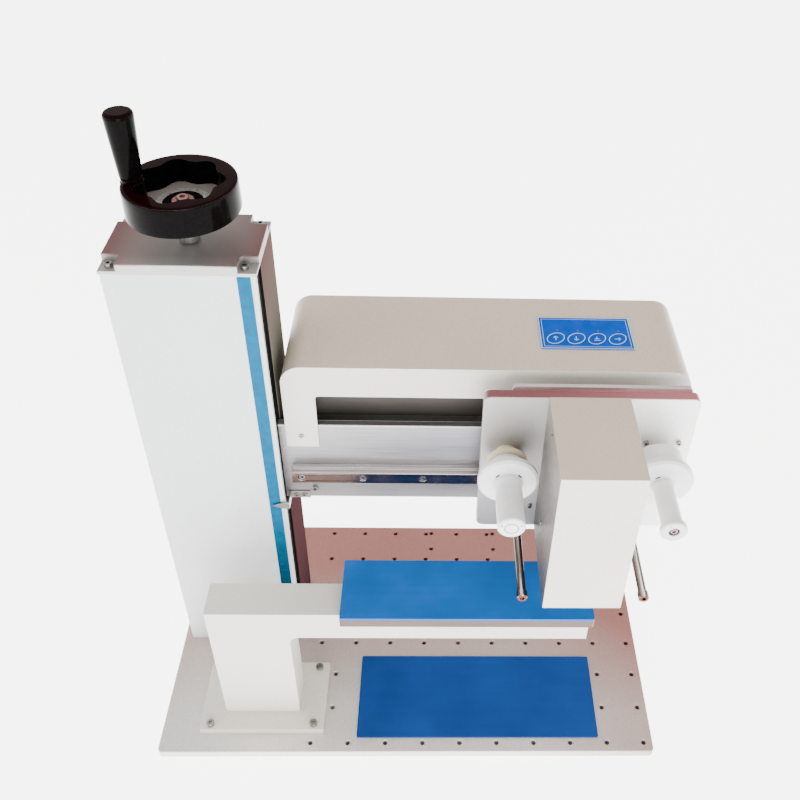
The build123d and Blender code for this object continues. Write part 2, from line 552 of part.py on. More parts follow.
def control_board():
    """The control board on its standoffs, under the top sheet."""
    z = COVER_TOP - COVER_SHEET
    board = block(60, 220, 32, 100, z - 9.6, z - 8)
    posts = [rod_z(x, y, z - 8, z, 3) for x in (66, 214) for y in (38, 94)]
    chips = block(100, 130, 40, 62, z - 13, z - 9.6) + block(160, 190, 50, 80, z - 18, z - 9.6)
    return board + posts + chips


# --------------------------------------------------------- traverse drive

def traverse_motor():
    """The stepper motor that drives the belt, with a bore for its turning shaft."""
    body = Pos(DRIVE_X, BELT_Y0 + 18 + MOTOR_LEN, BELT_Z) * Rot(90, 0, 0) * motor_body(MOTOR_LEN)
    return body - rod_y(DRIVE_X, BELT_Z, BELT_Y0, BELT_Y0 + 18 + 30, SHAFT_R + RUN)


def belt_brackets():
    """The drive motor's folded bracket, the idler's axle plate and the guard sheet behind the window."""
    half, front, back = MOTOR_W / 2 + 2, BELT_Y0 + 14, BELT_Y0 + 18
    low, high = BELT_Z - MOTOR_W / 2, BELT_Z + MOTOR_W / 2
    plate = block(DRIVE_X - half, DRIVE_X + half, front, back, low, high)
    plate -= rod_y(DRIVE_X, BELT_Z, front - 1, back + 1, FLANGE_R)
    side = block(DRIVE_X - half, DRIVE_X - half + 3, ARM_T, front, low, ARM_Z1 - 1)
    shelf = block(DRIVE_X - half, DRIVE_X + half, ARM_T, front, low, low + 3)
    pad = block(IDLER_X - 15, IDLER_X + 15, ARM_T, ARM_T + 3, BELT_Z - 15, ARM_Z1 - 1)
    axle = rod_y(IDLER_X, BELT_Z, ARM_T, BELT_Y0 + BELT_W + 5, AXLE_R)
    guard = block(GUARD_X0, GUARD_X1, front - GUARD_T, front, GUARD_Z0, COVER_TOP - COVER_SHEET)
    return [plate + side + shelf, pad + axle, guard]


def pulley(x, bore):
    """A flanged belt pulley turning about Y."""
    y0, y1 = BELT_Y0 - 0.6, BELT_Y0 + BELT_W + 0.6
    body = rod_y(x, BELT_Z, y0, y1, PULLEY_R)
    body += rod_y(x, BELT_Z, y0, y0 + 0.5, FLANGE_R) + rod_y(x, BELT_Z, y1 - 0.5, y1, FLANGE_R)
    return body - rod_y(x, BELT_Z, y0 - 1, y1 + 1, bore)


def drive_pulley():
    """The drive pulley in one with the motor's turning shaft."""
    return pulley(DRIVE_X, SHAFT_R) + rod_y(DRIVE_X, BELT_Z, BELT_Y0 - 1, BELT_Y0 + 44, SHAFT_R)


def belt_track(radius):
    """The outline of a belt at this distance from the pulleys' axes."""
    length = IDLER_X - DRIVE_X
    return SlotCenterToCenter(length, 2 * radius)


def timing_belt():
    """The closed belt round both pulleys."""
    section = belt_track(PULLEY_R + 0.1 + BELT_T) - belt_track(PULLEY_R + 0.1)
    middle = (DRIVE_X + IDLER_X) / 2
    return Pos(middle, BELT_Y0 + BELT_W, BELT_Z) * Rot(90, 0, 0) * extrude(section, BELT_W)


# ----------------------------------------------------------- head carriage

def head_blocks():
    """Two blocks that run on the arm's rail."""
    depth = BLOCK_H - BLOCK_CLEAR
    body = Pos(0, BLOCK_CLEAR + depth / 2, 0) * Box(BLOCK_W, depth, HEAD_BLOCK_LEN)
    body -= extrude(rail_section(RAIL_GAP), HEAD_BLOCK_LEN, both=True)
    return [on_arm_face(x, RAIL_Z) * body for x in HEAD_BLOCK_X]


def block_screw_points():
    """The rail blocks' screws: four in each."""
    corners = [(-1, -1), (-1, 1), (1, -1), (1, 1)]
    return [(x + BLOCK_SCREW * sx, RAIL_Z + BLOCK_SCREW * sz) for x in HEAD_BLOCK_X for sx, sz in corners]


def motor_screw_points():
    """The take-up motor's four screws, 31 mm apart."""
    return [(TAKEUP_MOTOR_X + sx * MOTOR_SCREW, SPINDLE_Z + sz * MOTOR_SCREW)
            for sx in (-1, 1) for sz in (-1, 1)]


def carriage_plate():
    """The head's carrying plate, with rounded corners."""
    plate = block(HEAD_X0, HEAD_X1, HEAD_Y0, HEAD_BACK, HEAD_Z0, HEAD_Z1)
    plate = fillet(plate.edges().filter_by(Axis.Y), HEAD_R)
    plate = chamfer(plate.faces().sort_by(Axis.Y)[0].edges(), 0.5)
    through = (HEAD_Y0 - 1, HEAD_BACK + 1)
    plate -= rod_y(TAKEUP_X, SPINDLE_Z, *through, SHAFT_R + 0.5)
    return plate - [rod_y(x, z, *through, 1.5) for x, z in block_screw_points() + motor_screw_points()]


def carriage_backing_plate():
    """A second, shorter plate behind the carriage plate's top edge."""
    plate = block(BACKING_X0, BACKING_X1, HEAD_BACK, HEAD_BACK + BACKING_T, BACKING_Z0, BACKING_TOP)
    return fillet(plate.edges().filter_by(Axis.Y).group_by(Axis.Z)[-1], 4)


def belt_clamp():
    """The bracket that reaches over the arm plate, through the window, to grip the belt's upper run."""
    belt_top = BELT_Z + PULLEY_R + 0.1 + BELT_T
    reach = BELT_Y0 + BELT_W
    bridge = block(CLAMP_X0, CLAMP_X1, HEAD_BACK, reach, CLAMP_Z, CLAMP_Z + CLAMP_T)
    foot = block(CLAMP_X0, CLAMP_X1, HEAD_BACK, HEAD_BACK + CLAMP_T, CLAMP_Z - 30, CLAMP_Z)
    jaw = block(CLAMP_X0, CLAMP_X1, BELT_Y0, reach, belt_top, CLAMP_Z)
    return bridge + foot + jaw


def carriage_screws():
    """Small socket screws of the rail blocks, the take-up motor and the head box."""
    long, short = socket_screw(3, 9, head_h=2.4), socket_screw(3, 1.4, head_h=1.1)
    screws = [facing_user(x, z, HEAD_Y0) * long for x, z in block_screw_points() + motor_screw_points()]
    for z in BOX_SCREW_Z:
        screws.append(Pos(BOX_X0, BOX_SCREW_Y, z) * Rot(0, -90, 0) * short)
        screws.append(Pos(BOX_X1, BOX_SCREW_Y, z) * Rot(0, 90, 0) * short)
    return screws


def head_cover():
    """The folded sheet box over the print head: open below and at the back."""
    box = block(BOX_X0, BOX_X1, BOX_Y0, HEAD_Y0, BOX_Z0, BOX_Z1)
    box = fillet(box.edges().filter_by(Axis.Z).group_by(Axis.Y)[0], 1.2)
    sheet = BOX_SHEET
    hollow = block(BOX_X0 + sheet, BOX_X1 - sheet, BOX_Y0 + sheet, HEAD_Y0 + 1, BOX_Z0 - 1, BOX_Z1 - sheet)
    return box - hollow - [rod_x(BOX_SCREW_Y, z, BOX_X0 - 1, BOX_X1 + 1, 1.5) for z in BOX_SCREW_Z]


def takeup_motor():
    """The flat gear motor that winds the spent foil; its output bore sits off its middle."""
    body = facing_user(TAKEUP_MOTOR_X, SPINDLE_Z, HEAD_BACK + TAKEUP_MOTOR_LEN) * motor_body(TAKEUP_MOTOR_LEN)
    return body - rod_y(TAKEUP_X, SPINDLE_Z, HEAD_BACK - 1, HEAD_BACK + TAKEUP_MOTOR_LEN - 4, SHAFT_R + RUN)


def on_spindle(x, points):
    """A turned piece on a spindle's axis, from (radius, distance in front of the carriage plate)."""
    return facing_user(x, SPINDLE_Z, HEAD_Y0) * turned(points)


def supply_housing():
    """The nylon bearing of the supply spindle, with a broad ring at its front."""
    bore = BUSH_R + RUN
    return on_spindle(SUPPLY_X, [(bore, 0), (10, 0), (10, 11.5), (18.7, 11.5), (19.5, 12.3), (19.5, 15.2),
                                 (18.7, 16), (bore, 16)])


def takeup_housing():
    """The slim bearing of the take-up spindle."""
    bore = BUSH_R + RUN
    return on_spindle(TAKEUP_X, [(bore, 0), (11, 0), (11, 9), (bore, 9)])


def supply_spindle():
    """The supply roll's core: bearing journal, dished flange and a smooth tube."""
    flange_back, flange_front = HEAD_Y0 - FLANGE_Y0 - FLANGE_T, HEAD_Y0 - FLANGE_Y0
    end = HEAD_Y0 - SUPPLY_END
    spindle = on_spindle(SUPPLY_X, [
        (0, 0.5), (BUSH_R, 0.5), (BUSH_R, 17), (16, 17), (16, flange_back - 4), (22, flange_back),
        (SUPPLY_FLANGE_R - 2, flange_back + 0.6), (SUPPLY_FLANGE_R, flange_back + 3),
        (SUPPLY_FLANGE_R, flange_front - 2.5), (SUPPLY_FLANGE_R - 2.2, flange_front - 0.4),
        (SUPPLY_TUBE_R + 1, flange_front), (SUPPLY_TUBE_R, flange_front + 1),
        (SUPPLY_TUBE_R, end - 1.4), (SUPPLY_TUBE_R - 1.2, end - 0.2),
        (6.4, end), (6.4, end - 0.8), (5.6, end - 0.8), (5.6, end), (0, end)])
    for side in (-1, 1):
        spindle -= core_slot(SUPPLY_X, 90 + 46 * side, SUPPLY_TUBE_R)
        spindle -= rod_y(SUPPLY_X + 8.6 * side, SPINDLE_Z + 3.4, SUPPLY_END - 1, SUPPLY_END + 1.2, 0.8)
    return spindle


def core_slot(x, angle, tube_r):
    """A slot in the flange at the tube's root, for the core's clip; the angle is seen by the user."""
    cutter = Pos(tube_r + 1.6, 0, 0) * Box(1.6, 5, 6)
    return facing_user(x, SPINDLE_Z, FLANGE_Y0) * Rot(0, 0, angle) * cutter


def takeup_spindle():
    """The take-up core: motor shaft, flared hub, slim tube and a flange notched to hold the foil's end."""
    flange_back, flange_front = HEAD_Y0 - FLANGE_Y0 - FLANGE_T, HEAD_Y0 - FLANGE_Y0
    end = HEAD_Y0 - TAKEUP_END - 5.6
    core = on_spindle(TAKEUP_X, [
        (0, 0.5), (BUSH_R, 0.5), (BUSH_R, 9.6), (23.4, 9.6), (24, 10.2), (24, flange_back),
        (TAKEUP_FLANGE_R - 2, flange_back + 0.6), (TAKEUP_FLANGE_R, flange_back + 3),
        (TAKEUP_FLANGE_R, flange_front - 2.5), (TAKEUP_FLANGE_R - 2.2, flange_front - 0.4),
        (TAKEUP_TUBE_R + 1, flange_front), (TAKEUP_TUBE_R, flange_front + 1),
        (TAKEUP_TUBE_R, end), (2, end), (2, end - 12), (0, end - 12)])
    core -= core_slot(TAKEUP_X, 120, TAKEUP_TUBE_R)
    reach = TAKEUP_FLANGE_R + 8
    edges = [(0, 0)] + [(reach * cos(radians(a)), reach * sin(radians(a))) for a in NOTCH_ANGLES]
    wedge = extrude(make_face(Polyline(*edges, close=True)), FLANGE_T + 8)
    notch = wedge - Pos(0, 0, FLANGE_T) * Cylinder(NOTCH_ROOT_R, 4 * FLANGE_T)
    core -= facing_user(TAKEUP_X, SPINDLE_Z, FLANGE_Y0 + FLANGE_T + 7) * notch
    return core + rod_y(TAKEUP_X, SPINDLE_Z, HEAD_Y0 - 1, HEAD_BACK + TAKEUP_MOTOR_LEN - 5, SHAFT_R)


def takeup_cap():
    """The flanged end cap, with its screw sunk in a cup."""
    end = HEAD_Y0 - TAKEUP_END
    cap = on_spindle(TAKEUP_X, [
        (0, end - 5.6), (TAKEUP_CAP_R - 0.6, end - 5.6), (TAKEUP_CAP_R, end - 5), (TAKEUP_CAP_R, end - 1.2),
        (TAKEUP_CAP_R - 1.2, end), (5.2, end), (4.4, end - 3), (0, end - 3)])
    cap -= rod_y(TAKEUP_X - 4, SPINDLE_Z + 7.6, TAKEUP_END - 1, TAKEUP_END + 1.2, 0.8)
    seat = facing_user(TAKEUP_X, SPINDLE_Z, TAKEUP_END + 3)
    return [cap - seat * Cylinder(2, 12), seat * socket_screw(4, 10, head_r=3.4, head_h=2.2)]


def guide_rods():
    """Two foil guide rods with collared ends and a socket in each."""
    rods = []
    for x in ROD_X:
        rod = rod_y(x, ROD_Z, ROD_Y0, HEAD_Y0, ROD_R)
        collar = rod_y(x, ROD_Z, ROD_Y0, ROD_Y0 + ROD_COLLAR_L, ROD_COLLAR_R)
        collar = chamfer(collar.faces().sort_by(Axis.Y)[0].edges(), 0.8)
        socket = facing_user(x, ROD_Z, ROD_Y0 + 3) * extrude(RegularPolygon(2.3, 6), 5)
        rods.append(rod + collar - socket)
    return rods


# --------------------------------------------------------------- print head

def press_rail():
    """The short upright guide on the carriage plate, inside the head box."""
    half = PRESS_RAIL_W / 2
    return block(PRESS_X - half, PRESS_X + half, HEAD_Y0 - PRESS_RAIL_T, HEAD_Y0, SLIDER_Z0 - 15, SLIDER_Z1 + 5)


def press_slider():
    """The bracket that slides on the guide and carries the print head."""
    back = HEAD_Y0 - PRESS_RAIL_T - RAIL_GAP
    front = back - SLIDER_T
    upright = block(PRESS_X0, PRESS_X1, front, back, SLIDER_Z0, SLIDER_Z1)
    shelf = block(PRESS_X0, PRESS_X1, PRESS_HEAD_Y0, front, SLIDER_Z0, SLIDER_Z0 + SHELF_T)
    return upright + shelf - rod_z(PRESS_X, PRESS_MOTOR_Y, SLIDER_Z0 - 1, SLIDER_Z0 + 9, PRESS_SCREW_R + 0.3)


def thermal_print_head():
    """The heated head: a finned block with a narrow printing strip under it."""
    x0, x1, strip_top = PRESS_X0 + 1, PRESS_X1 - 1, HEAD_BOTTOM + STRIP_H
    body = block(x0, x1, PRESS_HEAD_Y0, PRESS_HEAD_Y1, strip_top, SLIDER_Z0)
    for i in range(FIN_GAPS):
        y = PRESS_HEAD_Y0 + FIN_T + 2 * FIN_T * i
        body -= block(PRESS_X0, PRESS_X1, y, y + FIN_T, SLIDER_Z0 - 16, SLIDER_Z0 - 4)
    strip = block(x0, x1, PRESS_MOTOR_Y - 9, PRESS_MOTOR_Y + 9, HEAD_BOTTOM, strip_top)
    return body + strip - rod_z(PRESS_X, PRESS_MOTOR_Y, SLIDER_Z0 - 20, SLIDER_Z0 + 1, PRESS_SCREW_R + 0.3)


def press_motor():
    """The pressing motor on its shelf, with the screw that drives the slider."""
    body = Pos(PRESS_X, PRESS_MOTOR_Y, PRESS_MOTOR_Z0) * motor_body(PRESS_MOTOR_LEN)
    shelf = block(PRESS_X0, PRESS_X1, PRESS_MOTOR_Y - 22, HEAD_Y0, PRESS_MOTOR_Z0 - 4, PRESS_MOTOR_Z0)
    return body + shelf + rod_z(PRESS_X, PRESS_MOTOR_Y, SLIDER_Z0 - 14, PRESS_MOTOR_Z0, PRESS_SCREW_R)


# -------------------------------------------------------------------- stand

def stand_foot_plate():
    half_w, half_d = STAND_FOOT_W / 2, STAND_FOOT_D / 2
    plate = block(STAND_FOOT_X - half_w, STAND_FOOT_X + half_w, STAND_FOOT_Y - half_d, STAND_FOOT_Y + half_d,
                  BASE_T, BASE_T + STAND_FOOT_T)
    plate = chamfer(round_upright_edges(plate, 1.5).faces().sort_by(Axis.Z)[-1].edges(), 0.6)
    return plate - [rod_z(x, y, 0, 30, 2.7) for x, y in stand_screw_points()]


def stand_foot_screws():
    seat = BASE_T + STAND_FOOT_T
    return [Pos(x, y, seat) * socket_screw(5, 16, head_h=3.4) for x, y in stand_screw_points()]


def stand_outline(inset, foot):
    """The stand from the front: a post and an arm, with a rounded inner corner."""
    x0, x1, x2 = POST_X0 + inset, POST_X1 - inset, STAND_ARM_X1 - inset
    z1, z2 = STAND_TOP - STAND_ARM_H + inset, STAND_TOP - inset
    outline = Polyline((x0, foot), (x1, foot), (x1, z1), (x2, z1), (x2, z2), (x0, z2), close=True)
    body = extrude(Plane.XZ * make_face(outline), POST_Y1 - POST_Y0 - 2 * inset)
    body = Pos(0, POST_Y1 - inset, 0) * body
    upright_side = body.edges().filter_by(Axis.Y).filter_by_position(Axis.X, x1 - 1, x1 + 1)
    return fillet(upright_side.sort_by(Axis.Z)[-1], STAND_R)


def stand_arm():
    """The welded box-section post and free arm, open at the foot."""
    foot = BASE_T + STAND_FOOT_T
    outer = stand_outline(0, foot)
    outer = fillet(outer.edges().filter_by(Axis.Z).group_by(Axis.X)[0], 2)
    return outer - stand_outline(STAND_SHEET, foot - 1)


def arm_pad_plate():
    plate = block(TOP_PAD_X0, TOP_PAD_X1, TOP_PAD_Y0, TOP_PAD_Y1, STAND_TOP, STAND_TOP + TOP_PLATE_T)
    return chamfer(plate.edges().filter_by(Axis.Z), 1)


def arm_pad():
    low = STAND_TOP + TOP_PLATE_T
    pad = block(TOP_PAD_X0, TOP_PAD_X1, TOP_PAD_Y0, TOP_PAD_Y1, low, low + TOP_PAD_T)
    return round_upright_edges(pad, 1.5)


PIECES = [
    base_plate, base_pad, column_body, column_front_panel, column_top_cap, column_cap_screws, column_foot_block,
    screw_bearings, lift_rails, scale_strip, slot_dust_lips, lead_screw, handwheel, handwheel_insert,
    handwheel_screw,
    grip_stud, crank_grip, lift_carriage, lift_blocks, lead_nut, arm_plate, arm_rail, arm_screws, scale_pointer,
    beam_cover, keypad_panel, rear_sockets, power_switch, control_board, traverse_motor, belt_brackets,
    drive_pulley, timing_belt, head_blocks, carriage_plate, carriage_backing_plate, belt_clamp, carriage_screws,
    head_cover, takeup_motor, supply_housing, takeup_housing, supply_spindle, takeup_spindle,
    takeup_cap, guide_rods, press_rail, press_slider, thermal_print_head, press_motor, stand_foot_plate,
    stand_foot_screws, stand_arm, arm_pad_plate, arm_pad]


def save(name, shape):
    """Writes one node: a single solid, or a group of like solids."""
    solids = shape if isinstance(shape, list) else [shape]
    bodies = [solid for item in solids for solid in item.solids()]
    export_step(bodies[0] if len(bodies) == 1 else Compound(children=bodies), f"parts/{name}.step")


os.makedirs("parts", exist_ok=True)
for make in PIECES:
    save(make.__name__, make())
save("idler_pulley", pulley(IDLER_X, AXLE_R + RUN))
for number, x in enumerate(KEYS_X, start=1):
    save(f"key_{number}", key(x))
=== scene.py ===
import math

import bpy
from mathutils import Matrix, Vector


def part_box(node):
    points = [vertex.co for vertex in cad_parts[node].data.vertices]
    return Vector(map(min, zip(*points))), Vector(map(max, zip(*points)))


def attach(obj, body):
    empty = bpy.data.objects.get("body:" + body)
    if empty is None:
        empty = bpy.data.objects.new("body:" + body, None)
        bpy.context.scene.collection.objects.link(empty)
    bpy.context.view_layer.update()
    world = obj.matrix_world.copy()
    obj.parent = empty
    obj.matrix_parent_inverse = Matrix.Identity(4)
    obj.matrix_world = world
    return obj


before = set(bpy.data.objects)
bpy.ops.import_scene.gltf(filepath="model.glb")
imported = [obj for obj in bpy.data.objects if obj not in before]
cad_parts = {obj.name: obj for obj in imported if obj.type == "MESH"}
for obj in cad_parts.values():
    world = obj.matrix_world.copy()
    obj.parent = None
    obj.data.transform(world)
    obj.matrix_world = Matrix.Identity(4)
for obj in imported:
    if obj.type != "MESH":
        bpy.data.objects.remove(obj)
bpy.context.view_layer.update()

bl_info = {
    "name": "Bench foil press",
    "version": (1, 0, 0),
    "blender": (4, 5, 0),
    "location": "3D View > Sidebar > Foil press",
    "description": "Finishes, small printed marks, floor, light and camera for the bench foil press",
    "category": "Object",
}

MM = 0.001
IN_MM = 1000                         # millimetres in a metre


# ------------------------------------------------------------------ sizes and colours

class PressSizes(bpy.types.PropertyGroup):
    scale_step: bpy.props.FloatProperty(
        name="Scale step", description="Distance between the numbered marks of the height scale",
        default=10 * MM, unit="LENGTH")
    scale_first: bpy.props.FloatProperty(
        name="Scale start", description="Height of the scale's zero mark above the table",
        default=20 * MM, unit="LENGTH")
    digit_height: bpy.props.FloatProperty(
        name="Digit height", description="Height of the scale's numbers", default=2.6 * MM, unit="LENGTH")
    oval_line: bpy.props.FloatProperty(
        name="Oval line", description="Width of the lines printed on the keys", default=0.8 * MM,
        unit="LENGTH")
    sheet_edge: bpy.props.FloatProperty(
        name="Sheet edge", description="Radius broken on the edges of the painted sheet", default=0.7 * MM,
        unit="LENGTH")
    plate_edge: bpy.props.FloatProperty(
        name="Plate edge", description="Radius broken on the edges of the small plates and the pads",
        default=0.35 * MM, unit="LENGTH")
    track_edge: bpy.props.FloatProperty(
        name="Track edge", description="Radius broken on the edges of the arm plate and its rail",
        default=0.5 * MM, unit="LENGTH")
    # The handwheel's broken edges carry a painted highlight.
    wheel_edge: bpy.props.FloatProperty(
        name="Wheel edge", description="Radius rubbed on the edges of the handwheel", default=0.6 * MM,
        unit="LENGTH")


class PressColours(bpy.types.PropertyGroup):
    column_paint: bpy.props.StringProperty(
        name="Column paint", description="sRGB hex of the column's powder coat", default="D2D8D8")
    cover_paint: bpy.props.StringProperty(
        name="Cover paint", description="sRGB hex of the powder coat on the covers and the stand",
        default="DCD9D0")
    plate: bpy.props.StringProperty(
        name="Base plate", description="sRGB hex of the base plate's anodised film", default="DDDBD8")
    upper_pad: bpy.props.StringProperty(
        name="Upper pad", description="sRGB hex of the free arm's silicone pad", default="1A62B4")
    # The lower pad's blue is darker than the upper pad's, as painted shade.
    lower_pad: bpy.props.StringProperty(
        name="Lower pad", description="sRGB hex of the base's silicone pad", default="124086")
    scale_film: bpy.props.StringProperty(
        name="Scale film", description="sRGB hex of the height scale", default="005A80")
    # A painted rose reflection on the carriage plate's upper faces.
    rose: bpy.props.StringProperty(
        name="Rose cast", description="sRGB hex of the warm cast on the carriage plate's upper edge",
        default="C87F85")
    keypad_film: bpy.props.StringProperty(
        name="Keypad film", description="sRGB hex of the keypad's overlay", default="0050C0")


def sizes():
    return bpy.context.scene.press_sizes


def colours():
    return bpy.context.scene.press_colours


# ------------------------------------------------------------------ materials

def linear(hex_colour):
    """A linear RGBA colour from an sRGB hex value."""
    channels = [int(hex_colour[i:i + 2], 16) / 255 for i in (0, 2, 4)]
    return [c / 12.92 if c <= 0.04045 else ((c + 0.055) / 1.055) ** 2.4 for c in channels] + [1.0]


def add_node(tree, kind, settings=None, inputs=None):
    """Adds one node: settings go to its properties, inputs to its sockets as values or links."""
    made = tree.nodes.new(kind)
    for name, value in (settings or {}).items():
        setattr(made, name, value)
    for key, value in (inputs or {}).items():
        if isinstance(value, bpy.types.NodeSocket):
            tree.links.new(value, made.inputs[key])
        else:
            made.inputs[key].default_value = value
    return made


def ramp(tree, factor, stops):
    """A colour ramp from (position, hex or grey value) stops."""
    made = add_node(tree, "ShaderNodeValToRGB", None, {"Fac": factor})
    elements = made.color_ramp.elements
    elements.remove(elements[1])
    elements[0].position = stops[0][0]
    for number, (place, value) in enumerate(stops):
        element = elements.new(place) if number else elements[0]
        element.color = linear(value) if isinstance(value, str) else (value, value, value, 1)
    return made.outputs["Color"]


def shade(hex_colour, factor):
    """The same hue, lighter or darker."""
    channels = [min(255, max(0, round(int(hex_colour[i:i + 2], 16) * factor))) for i in (0, 2, 4)]
    return "".join(f"{c:02X}" for c in channels)


def start(name, **surface):
    """A material with its shader's uniform values set on its own sockets."""
    material = bpy.data.materials.new(name)
    material.use_nodes = True
    shader = material.node_tree.nodes["Principled BSDF"]
    for key, value in surface.items():
        shader.inputs[key.replace("_", " ")].default_value = value
    return material, material.node_tree, shader


def position(tree, stretch=(1, 1, 1)):
    """The piece's own coordinates in millimetres, drawn out along an axis where it is below 1."""
    coords = add_node(tree, "ShaderNodeTexCoord").outputs["Object"]
    scale = [IN_MM * s for s in stretch]
    return add_node(tree, "ShaderNodeMapping", None, {"Vector": coords, "Scale": scale}).outputs["Vector"]


def drawn_out(way, factor):
    """A stretch that turns a pattern into lines along one axis."""
    return [factor if axis == way else 1 for axis in "XYZ"]


def along(tree, axis, low, high):
    """Rises from 0 to 1 between two places, in millimetres, along an axis of the whole machine."""
    place = add_node(tree, "ShaderNodeSeparateXYZ", None, {0: position(tree)}).outputs[axis]
    inputs = {"Value": place, "From Min": low, "From Max": high}
    return add_node(tree, "ShaderNodeMapRange", None, inputs).outputs["Result"]


def away(tree, axis, middle, near, far):
    """Rises from 0 to 1 with the distance from a place on an axis, to either side, in millimetres."""
    place = add_node(tree, "ShaderNodeSeparateXYZ", None, {0: position(tree)}).outputs[axis]
    offset = add_node(tree, "ShaderNodeMath", {"operation": "SUBTRACT"}, {0: place, 1: middle}).outputs[0]
    distance = add_node(tree, "ShaderNodeMath", {"operation": "ABSOLUTE"}, {0: offset}).outputs[0]
    inputs = {"Value": distance, "From Min": near, "From Max": far}
    return add_node(tree, "ShaderNodeMapRange", None, inputs).outputs["Result"]


def both(tree, first, second):
    """The product of two factors: 1 only where both are."""
    return add_node(tree, "ShaderNodeMath", {"operation": "MULTIPLY"}, {0: first, 1: second}).outputs[0]


def within(tree, centre, radius, mask=(1, 1, 1)):
    """1 inside this many millimetres of a point or, where the mask drops an axis, of a line."""
    offset = add_node(tree, "ShaderNodeVectorMath", {"operation": "SUBTRACT"}, {0: position(tree), 1: centre})
    flat = add_node(tree, "ShaderNodeVectorMath", {"operation": "MULTIPLY"}, {0: offset.outputs[0], 1: mask})
    length = add_node(tree, "ShaderNodeVectorMath", {"operation": "LENGTH"}, {0: flat.outputs[0]})
    inputs = {0: length.outputs["Value"], 1: radius}
    return add_node(tree, "ShaderNodeMath", {"operation": "LESS_THAN"}, inputs).outputs[0]


def facing(tree, axis, low, high):
    """Rises from 0 to 1 as a face's normal leans from low to high along an axis."""
    normal = add_node(tree, "ShaderNodeNewGeometry").outputs["True Normal"]
    lean = add_node(tree, "ShaderNodeSeparateXYZ", None, {0: normal}).outputs[axis]
    inputs = {"Value": lean, "From Min": low, "From Max": high}
    return add_node(tree, "ShaderNodeMapRange", None, inputs).outputs["Result"]


def facing_up(tree):
    """1 on level faces that look up, and 0 on upright ones."""
    return facing(tree, "Z", 0.5, 0.9)


CORNER_OPEN, CORNER_DEEP = 0.85, 0.4   # shares of open air where painted corner shade begins and is at its deepest


def in_corner(tree, reach_mm):
    """Painted shade: rises to 1 in slots and corners that are narrower than this."""
    around = add_node(tree, "ShaderNodeAmbientOcclusion", {"samples": 8, "only_local": True},
                      {"Distance": reach_mm * MM})
    inputs = {"Value": around.outputs["AO"], "From Min": CORNER_OPEN, "From Max": CORNER_DEEP}
    return add_node(tree, "ShaderNodeMapRange", None, inputs).outputs["Result"]


def bump(tree, shader, height, distance_mm, strength=1.0):
    """Raises the surface by up to distance_mm where height is 1."""
    inputs = {"Height": height, "Distance": distance_mm * MM, "Strength": strength}
    made = add_node(tree, "ShaderNodeBump", None, inputs)
    tree.links.new(made.outputs["Normal"], shader.inputs["Normal"])


def noise(tree, vector, size_mm, detail=2.0, rough=0.5):
    """Noise whose features are about size_mm across."""
    inputs = {"Vector": vector, "Scale": 1 / size_mm, "Detail": detail, "Roughness": rough}
    return add_node(tree, "ShaderNodeTexNoise", None, inputs).outputs["Fac"]


def mixed(tree, factor, first, second, blend="MIX"):
    """A colour mix; factor, first and second are values, hex colours or sockets."""
    inputs = {0: factor, 6: linear(first) if isinstance(first, str) else first,
              7: linear(second) if isinstance(second, str) else second}
    return add_node(tree, "ShaderNodeMix", {"data_type": "RGBA", "blend_type": blend}, inputs).outputs[2]


def powder_coated_steel(name, colour, painted_light=None, gloss_level=0.35, grit_mm=1.6):
    """Satin powder coat over sheet: a fine orange-peel grain that breaks up the highlight, and faint
    cloudy differences in tone. The grit is drawn coarser than the real 0.3 mm, so that it shows. Where a
    painted light function of the tree is given, the coat takes its colour as painted light and shade. A
    gloss_level of 0 takes away the glare of a face that is seen edge on."""
    material, tree, shader = start(name, Roughness=0.42, IOR=1.5, Specular_IOR_Level=gloss_level)
    vector = position(tree)
    grit = noise(tree, vector, grit_mm, 3.0, 0.6)
    cloud = noise(tree, vector, 90.0, 1.0)
    grain = ramp(tree, grit, [(0.30, shade(colour, 0.955)), (0.62, shade(colour, 1.02))])
    tone = ramp(tree, cloud, [(0.3, 0.95), (0.7, 1.0)])
    coat = mixed(tree, 1.0, grain, tone, "MULTIPLY")
    if painted_light:
        coat = mixed(tree, 1.0, coat, painted_light(tree), "MULTIPLY")
    tree.links.new(coat, shader.inputs["Base Color"])
    gloss = ramp(tree, noise(tree, vector, 6.0, 2.0), [(0.3, 0.36), (0.7, 0.48)])
    tree.links.new(gloss, shader.inputs["Roughness"])
    bump(tree, shader, grit, 0.05, 0.5)
    return material


def warm_above(tree):
    """Painted warm light: a slightly warmer tone on level faces."""
    return mixed(tree, facing_up(tree), "FFFFFF", "F8EAE0")


HEAD_SHADE_HEIGHTS = (244, 419)               # heights between which the painted shade on the head box's left side turns paler, in mm


def head_tint(tree):
    """Painted warm light above, and painted shade on the side that looks at the column, darkest at its foot.
    """
    side_shade = ramp(tree, along(tree, "Z", *HEAD_SHADE_HEIGHTS), [(0.0, "454347"), (1.0, "989494")])
    return mixed(tree, facing(tree, "X", -0.6, -0.9), warm_above(tree), side_shade)


